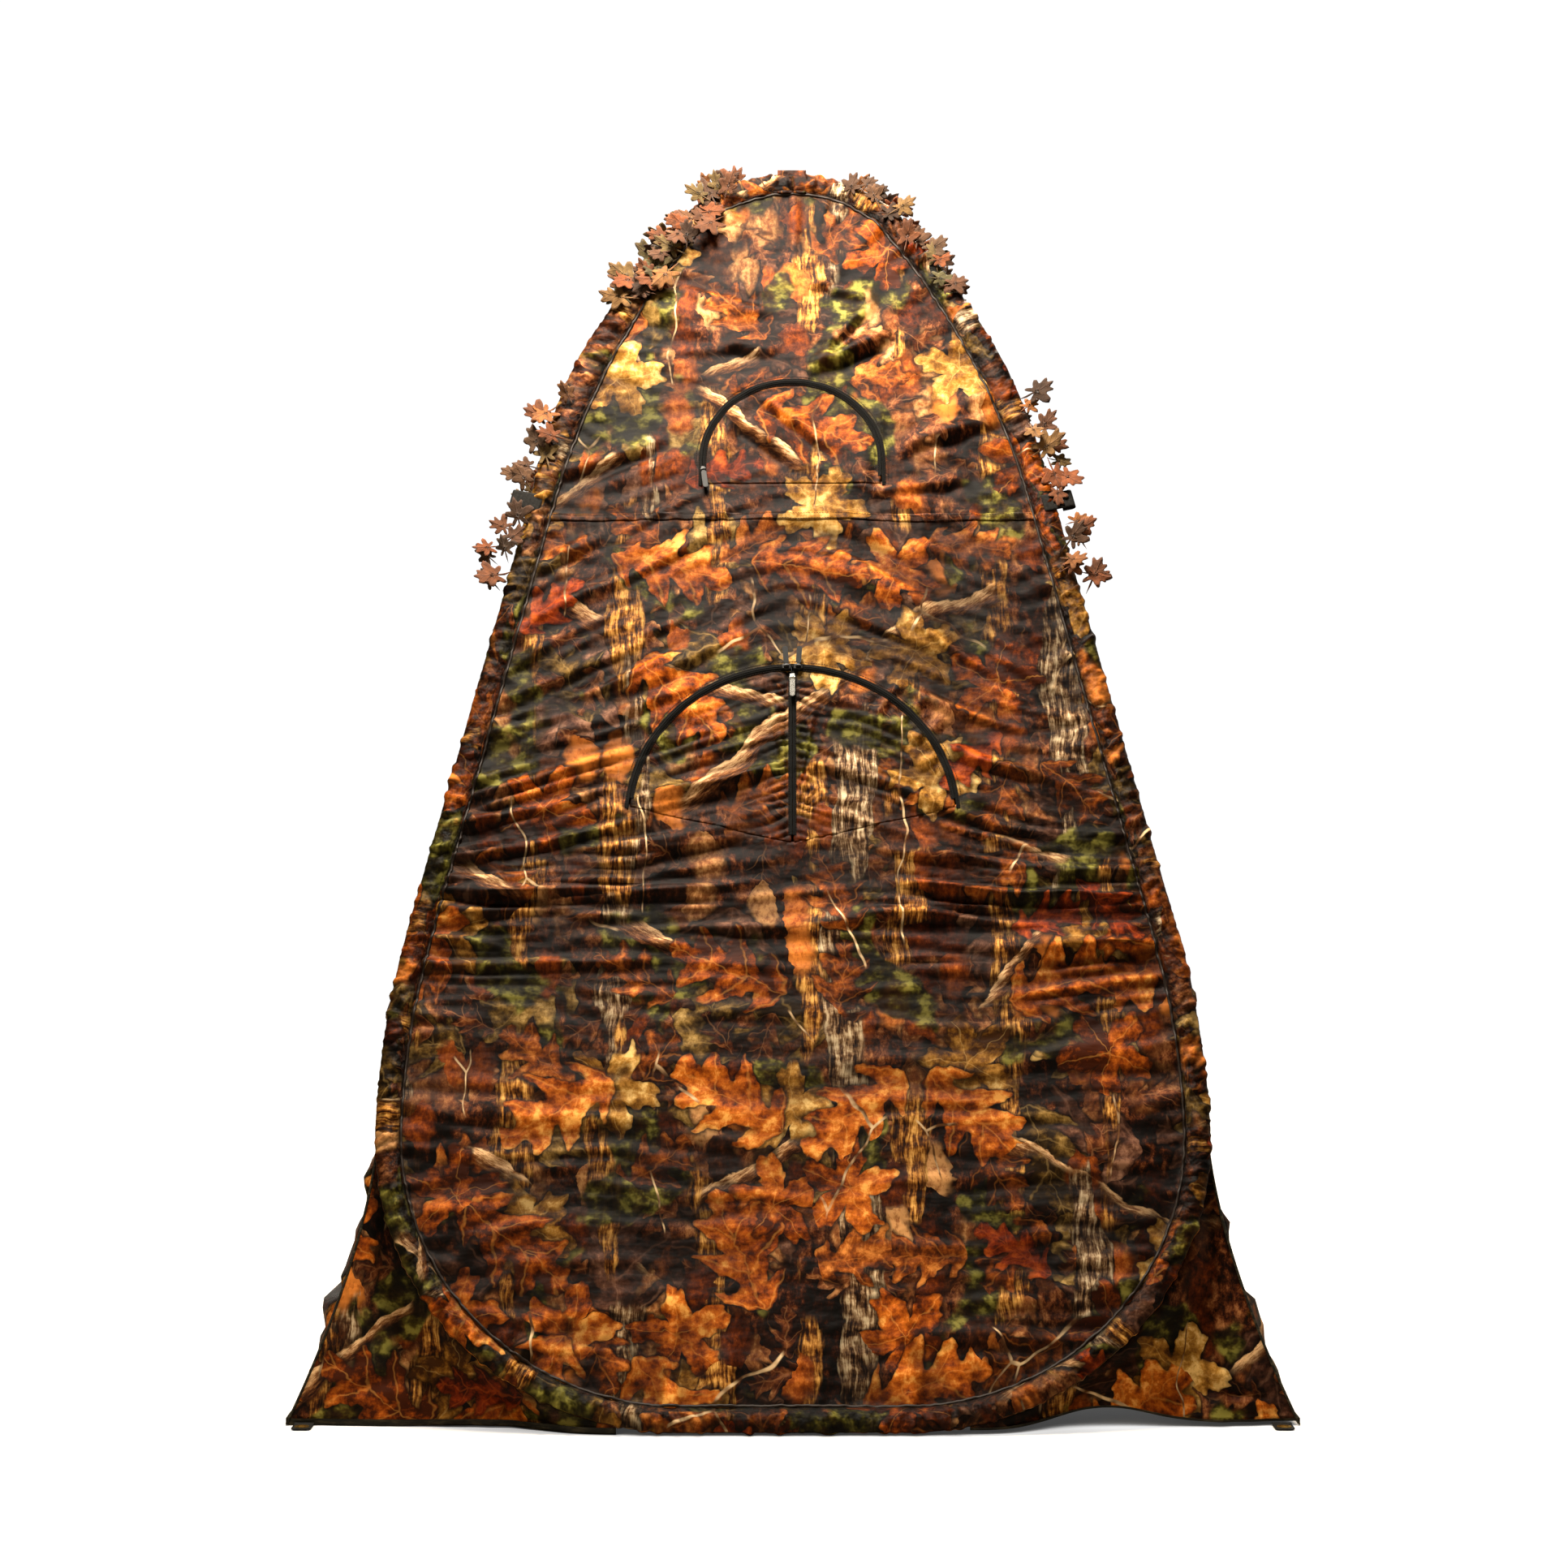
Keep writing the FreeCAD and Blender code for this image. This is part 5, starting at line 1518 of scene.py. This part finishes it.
def leaf_strip(name, body, place, seed, groups, *nodes):
    """Cut leaves sewn along the sleeve. A group is first and last station, count, insets and leaf size."""
    rng = np.random.default_rng(seed)
    parts = []
    for first, last, count, insets, size in groups:
        for k in range(count):
            station = first + (last - first) * (k + rng.uniform(0.2, 0.8)) / count
            w, s, out_w, out_s = (float(v) for v in outline(station, rng.uniform(*insets)))
            points, faces = cut_leaf(rng, rng.uniform(*size))
            turn = rng.normal(0.0, 0.85)
            axis = np.array([math.cos(turn), math.sin(turn)])
            along_w = axis[0] * out_w - axis[1] * out_s
            along_s = axis[0] * out_s + axis[1] * out_w
            tilt = rng.uniform(-0.15, 0.55)
            base = rng.uniform(0.0085, 0.0155)
            reach = points[:, 0] + 0.012
            pw = w + along_w * reach - along_s * points[:, 1]
            ps = s + along_s * reach + along_w * points[:, 1]
            pn = np.maximum(base + points[:, 2] + tilt * np.maximum(reach, -0.01), 0.0082)
            uv = points[:, :2] + np.array([len(parts) + 0.5, seed % 17 + 0.5])
            parts.append((place(pw, ps, pn), faces, uv))
    piece = build(name, *joined(parts), thick=0.0007)
    fit(piece, body, "leaf_cloth", LEAF_CLOTH, *nodes)


def station_at(s_wanted):
    station = np.arange(SIDE_STATION, HALF_LENGTH, 0.001)
    return float(np.interp(s_wanted, outline(station)[1], station))


def side_groups(side):
    """Two bunches above the webbing loop and one below it."""
    spans = [(1.345, 1.43, 5), (1.285, 1.345, 5), (1.135, 1.235, 8)]
    inward = [(-0.022, 0.020), (-0.030, 0.016), (-0.026, 0.016)]
    return [(side * station_at(a), side * station_at(b), count, inset, (0.034, 0.056))
            for (a, b, count), inset in zip(spans, inward)]


def leaf_strips():
    for word, side in FACING:
        leaf_strip("side_leaves_" + word, "front_wall", front_place, 201 + side,
                   side_groups(side), "front_leaf_strip_" + word)
        rear_side = -side
        first, last = rear_side * station_at(1.60), rear_side * station_at(1.775)
        crown = (first, last, 13, (-0.004, 0.020), (0.04, 0.06))
        leaf_strip("rear_leaves_" + word, "rear_wall", rear_place, 231 + side,
                   side_groups(rear_side) + [crown], "rear_leaf_strip_" + word)
    dense = [(-station_at(1.585), -station_at(1.655), 14, (0.002, 0.044), (0.040, 0.060)),
             (-station_at(1.665), -station_at(1.768), 15, (0.006, 0.044), (0.038, 0.056))]
    leaf_strip("crown_leaves_left", "front_wall", front_place, 221, dense, "crown_leaf_strip_left")
    sparse = [(station_at(1.60), station_at(1.690), 8, (0.004, 0.026), (0.034, 0.050)),
              (station_at(1.72), station_at(1.775), 6, (0.004, 0.022), (0.034, 0.048))]
    leaf_strip("crown_leaves_right", "front_wall", front_place, 223, sparse, "crown_leaf_strip_right")


# ---- webbing -------------------------------------------------------------------------------------
LOOP_S = 1.268
LOOP_HALF = 0.0125
LOOP_END = 0.020
LOOP_BEND = 0.0046


def webbing_loops(wall, place):
    """Webbing sewn over the sleeve and turned back on itself outside the hoop, one each side."""
    bend = np.linspace(0.0, math.pi, 13)
    front = [(x, 0.0080) for x in np.linspace(-0.018, LOOP_END, 10)]
    loop = [(LOOP_END + LOOP_BEND * math.sin(a), 0.0034 + LOOP_BEND * math.cos(a)) for a in bend[1:]]
    back = [(x, -0.0012) for x in np.linspace(0.019, 0.008, 5)]
    path = np.array(front + loop + back)
    along = np.linspace(-LOOP_HALF, LOOP_HALF, 9)
    parts = []
    for side in (-1, 1):
        w, s, out_w, out_s = (float(v) for v in outline(side * station_at(LOOP_S)))
        out = path[:, 0][:, None]
        pw = w + out_w * out - out_s * along
        ps = s + out_s * out + out_w * along
        pn = path[:, 1][:, None] + 0.0005 * np.cos(along / LOOP_HALF * 1.5)
        length = np.concatenate([[0.0], np.cumsum(np.hypot(*np.diff(path, axis=0).T))])
        uv = np.stack(np.broadcast_arrays(length[:, None], along), axis=-1)
        parts.append((place(pw, ps, pn), grid_faces(len(path), len(along)), uv))
    piece = build(wall + "_loop_webbing", *joined(parts), thick=0.0012)
    fit(piece, wall + "_wall", "webbing", WEBBING, wall + "_webbing_loops")


SADDLE_HALF = 0.020
SADDLE_S = (1.760, 1.7945)
SADDLE_RISE = (0.0010, 0.0058)


def crown_saddle():
    """Webbing over the crown, sewn to both sleeves: the cloth hinge between the walls."""
    leg = front_place(np.zeros(14), np.linspace(*SADDLE_S, 14), np.linspace(*SADDLE_RISE, 14))
    share = np.array([0.6, 0.2])
    top = stack(0.0, leg[-1][1] * share, leg[-1][2] + 0.0015 * (1 - share ** 2))
    half = np.concatenate([leg, top])
    path = np.concatenate([half, half[::-1] * np.array([1.0, -1.0, 1.0])])
    across = np.linspace(-SADDLE_HALF, SADDLE_HALF, 13)
    points = path[:, None, :] + stack(across, 0 * across, 0 * across)
    length = np.concatenate([[0.0], np.cumsum(np.linalg.norm(np.diff(path, axis=0), axis=1))])
    uv = np.stack(np.broadcast_arrays(length[:, None], across), axis=-1)
    piece = build("crown_saddle", points, grid_faces(len(path), len(across)), uv, thick=0.0011)
    share = smooth(np.repeat(path[:, 1], len(across)), -0.012, 0.012)
    fit_across(piece, share, "webbing", PRINT_SLEEVE, "crown_strap")


TAB_CORNER = 0.006
TAB_TUCK = 0.004
EYE_INSET = 0.009
EYE_HOLE = 0.0066


def peg_tabs():
    """Webbing tabs on the ground in front of each corner, with a hole for the brass eyelet."""
    for wall, facing in WALLS:
        side_y = -facing
        low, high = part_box(wall + "_peg_tabs")
        eye_low, eye_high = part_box(wall + "_grommets")
        middle_x = eye_high.x - EYE_INSET
        near, far = sorted((abs(low.y), abs(high.y)))
        eye_y = (abs(eye_low.y) + abs(eye_high.y)) / 2
        half = high.x - middle_x

        def inside(x, y):
            past_x = np.maximum(np.abs(x) - half + TAB_CORNER, 0)
            corner = np.hypot(past_x, np.maximum(y - far + TAB_CORNER, 0))
            edge = np.minimum(np.minimum(half - np.abs(x), far - y), y - near + TAB_TUCK)
            edge = np.where(corner > 0, np.minimum(edge, TAB_CORNER - corner), edge)
            return np.minimum(edge, np.hypot(x, y - eye_y) - EYE_HOLE)

        x, y, faces = sheet_grid((-half, near - TAB_TUCK), (half, far), 0.0014, inside)
        parts = []
        for side_x in (-1, 1):
            rise = 0.0016 + 0.0012 * smooth(y, near + TAB_TUCK, near - TAB_TUCK)
            points = stack(side_x * (middle_x + x), side_y * y, rise)
            parts.append((points, faces, stack(x, y)))
        piece = build(wall + "_tab_webbing", *joined(parts), thick=0.0013)
        fit(piece, wall + "_wall", "webbing", WEBBING, wall + "_peg_tabs")


# ---- CAD parts that keep their own shape -------------------------------------------------------------
def cad_finishes():
    finishes = {"centre_slider": NICKEL, "centre_pull": NICKEL}
    for wall in ("front", "rear"):
        finishes.update({wall + "_hoop": SPRING, wall + "_hoop_ferrule": ZINC, wall + "_grommets": BRASS})
    for zip_name in ("upper", "arch_left", "arch_right", "door"):
        finishes[zip_name + "_slider"] = ENAMEL
        finishes[zip_name + "_pull"] = ENAMEL
    for node, material in finishes.items():
        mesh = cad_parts[node].data
        mesh.materials.clear()
        mesh.materials.append(material)


# ---- floor, light and camera --------------------------------------------------------------------------
FLOOR_REACH = 30.0
FLOOR_Z = -0.0005
CAMERA_PLACE = (-0.011, -4.9, 0.79)
CAMERA_LENS = 79.4
WARM = (1.0, 0.90, 0.76)
WARMER = (1.0, 0.85, 0.62)
# name, place, aim, size, watts, colour
LIGHTS = [
    ("key", (-0.25, -0.60, 2.78), (0.0, -0.3, 0.9), 0.7, 150.0, WARM),
    ("fill", (-2.0, -4.2, 1.7), (0.0, 0.0, 0.7), 2.0, 32.0, WARMER),
    ("back", (0.5, 1.9, 3.1), (0.0, 0.3, 0.7), 1.3, 150.0, WARM),
    ("side", (3.6, 1.2, 2.2), (0.0, 0.0, 0.7), 2.0, 36.0, WARM),
    ("rear_fill", (-2.4, 3.6, 1.6), (0.0, 0.0, 0.7), 2.2, 34.0, WARM),
]


def make_floor():
    """White to the eye, with painted shadow where the blind stands close and inside the blind."""
    corners = [(x * FLOOR_REACH, y * FLOOR_REACH, FLOOR_Z) for x, y in ((-1, -1), (1, -1), (1, 1), (-1, 1))]
    floor = build("floor", corners, [[0, 1, 2, 3]], flat=True)
    g = Graph("floor")
    grain = g.noise(g.node("TexCoord", {}, output=3), 3.0, 3.0)
    tone = g.mix(grain, (0.35, 0.31, 0.25, 1.0), (0.38, 0.34, 0.28, 1.0))
    seen = g.node("LightPath", {}, output=0)
    # painted shadow: the floor's glow is dimmed by ambient occlusion near the blind and inside it
    near = g.node("AmbientOcclusion", {"Distance": 0.16}, output=1)
    open_air = g.step(g.node("AmbientOcclusion", {"Distance": 2.2}, output=1), 0.06, 0.36)
    g.feed(g.surface.inputs["Emission Color"], (1.0, 1.0, 1.0, 1.0))
    g.feed(g.surface.inputs["Emission Strength"], seen * (near * 0.80 + 0.22) * (open_air * 0.92 + 0.08))
    floor.data.materials.append(g.finish(colour=tone, rough=0.9, shine=0.0))


def make_world():
    """White to the eye, dim and warm as a light."""
    world = bpy.data.worlds.new("studio")
    world.use_nodes = True
    bpy.context.scene.world = world
    tree = world.node_tree
    background = tree.nodes["Background"]
    background.inputs["Strength"].default_value = 1.0
    path = tree.nodes.new("ShaderNodeLightPath")
    choice = tree.nodes.new("ShaderNodeMix")
    choice.data_type = "RGBA"
    choice.inputs[6].default_value = (0.070, 0.058, 0.040, 1.0)
    choice.inputs[7].default_value = (1.05, 1.05, 1.05, 1.0)
    tree.links.new(path.outputs["Is Camera Ray"], choice.inputs[0])
    tree.links.new(choice.outputs[2], background.inputs["Color"])


def soft_light(name, place, aim, size, power, colour):
    light = bpy.data.lights.new(name, "AREA")
    light.shape = "DISK"
    light.size = size
    light.energy = power
    light.color = colour
    lamp = bpy.data.objects.new(name, light)
    lamp.location = place
    direction = [a - b for a, b in zip(aim, place)]
    lamp.rotation_euler = Vector(direction).to_track_quat("-Z", "Y").to_euler()
    bpy.context.scene.collection.objects.link(lamp)


def make_camera():
    camera = bpy.data.cameras.new("camera")
    camera.sensor_width = 36.0
    camera.lens = CAMERA_LENS
    holder = bpy.data.objects.new("camera", camera)
    holder.location = CAMERA_PLACE
    holder.rotation_euler = (math.pi / 2, 0.0, 0.0)
    bpy.context.scene.collection.objects.link(holder)
    bpy.context.scene.camera = holder


front_sheets()
rear_sheets()
seam_tape("front", front_cloth, FRONT_PRINT)
seam_tape("rear", rear_cloth, REAR_PRINT)
sleeve("front", front_place, 301, (9.1, 4.2), 0.0032, (0.011, 0.006))
sleeve("rear", rear_place, 311, (12.3, 6.2), 0.0045, (0.004, 0.004))
seam_binding("front", front_cloth)
seam_binding("rear", rear_cloth)
front_zips()
rear_zips()
front_stitches()
rear_stitches()
side_walls()
side_hems()
gussets()
ground_hems()
corner_piping()
leaf_strips()
webbing_loops("front", front_place)
webbing_loops("rear", rear_place)
crown_saddle()
peg_tabs()
cad_finishes()
make_floor()
make_world()
for light in LIGHTS:
    soft_light(*light)
make_camera()
bpy.context.scene.view_settings.view_transform = "Standard"
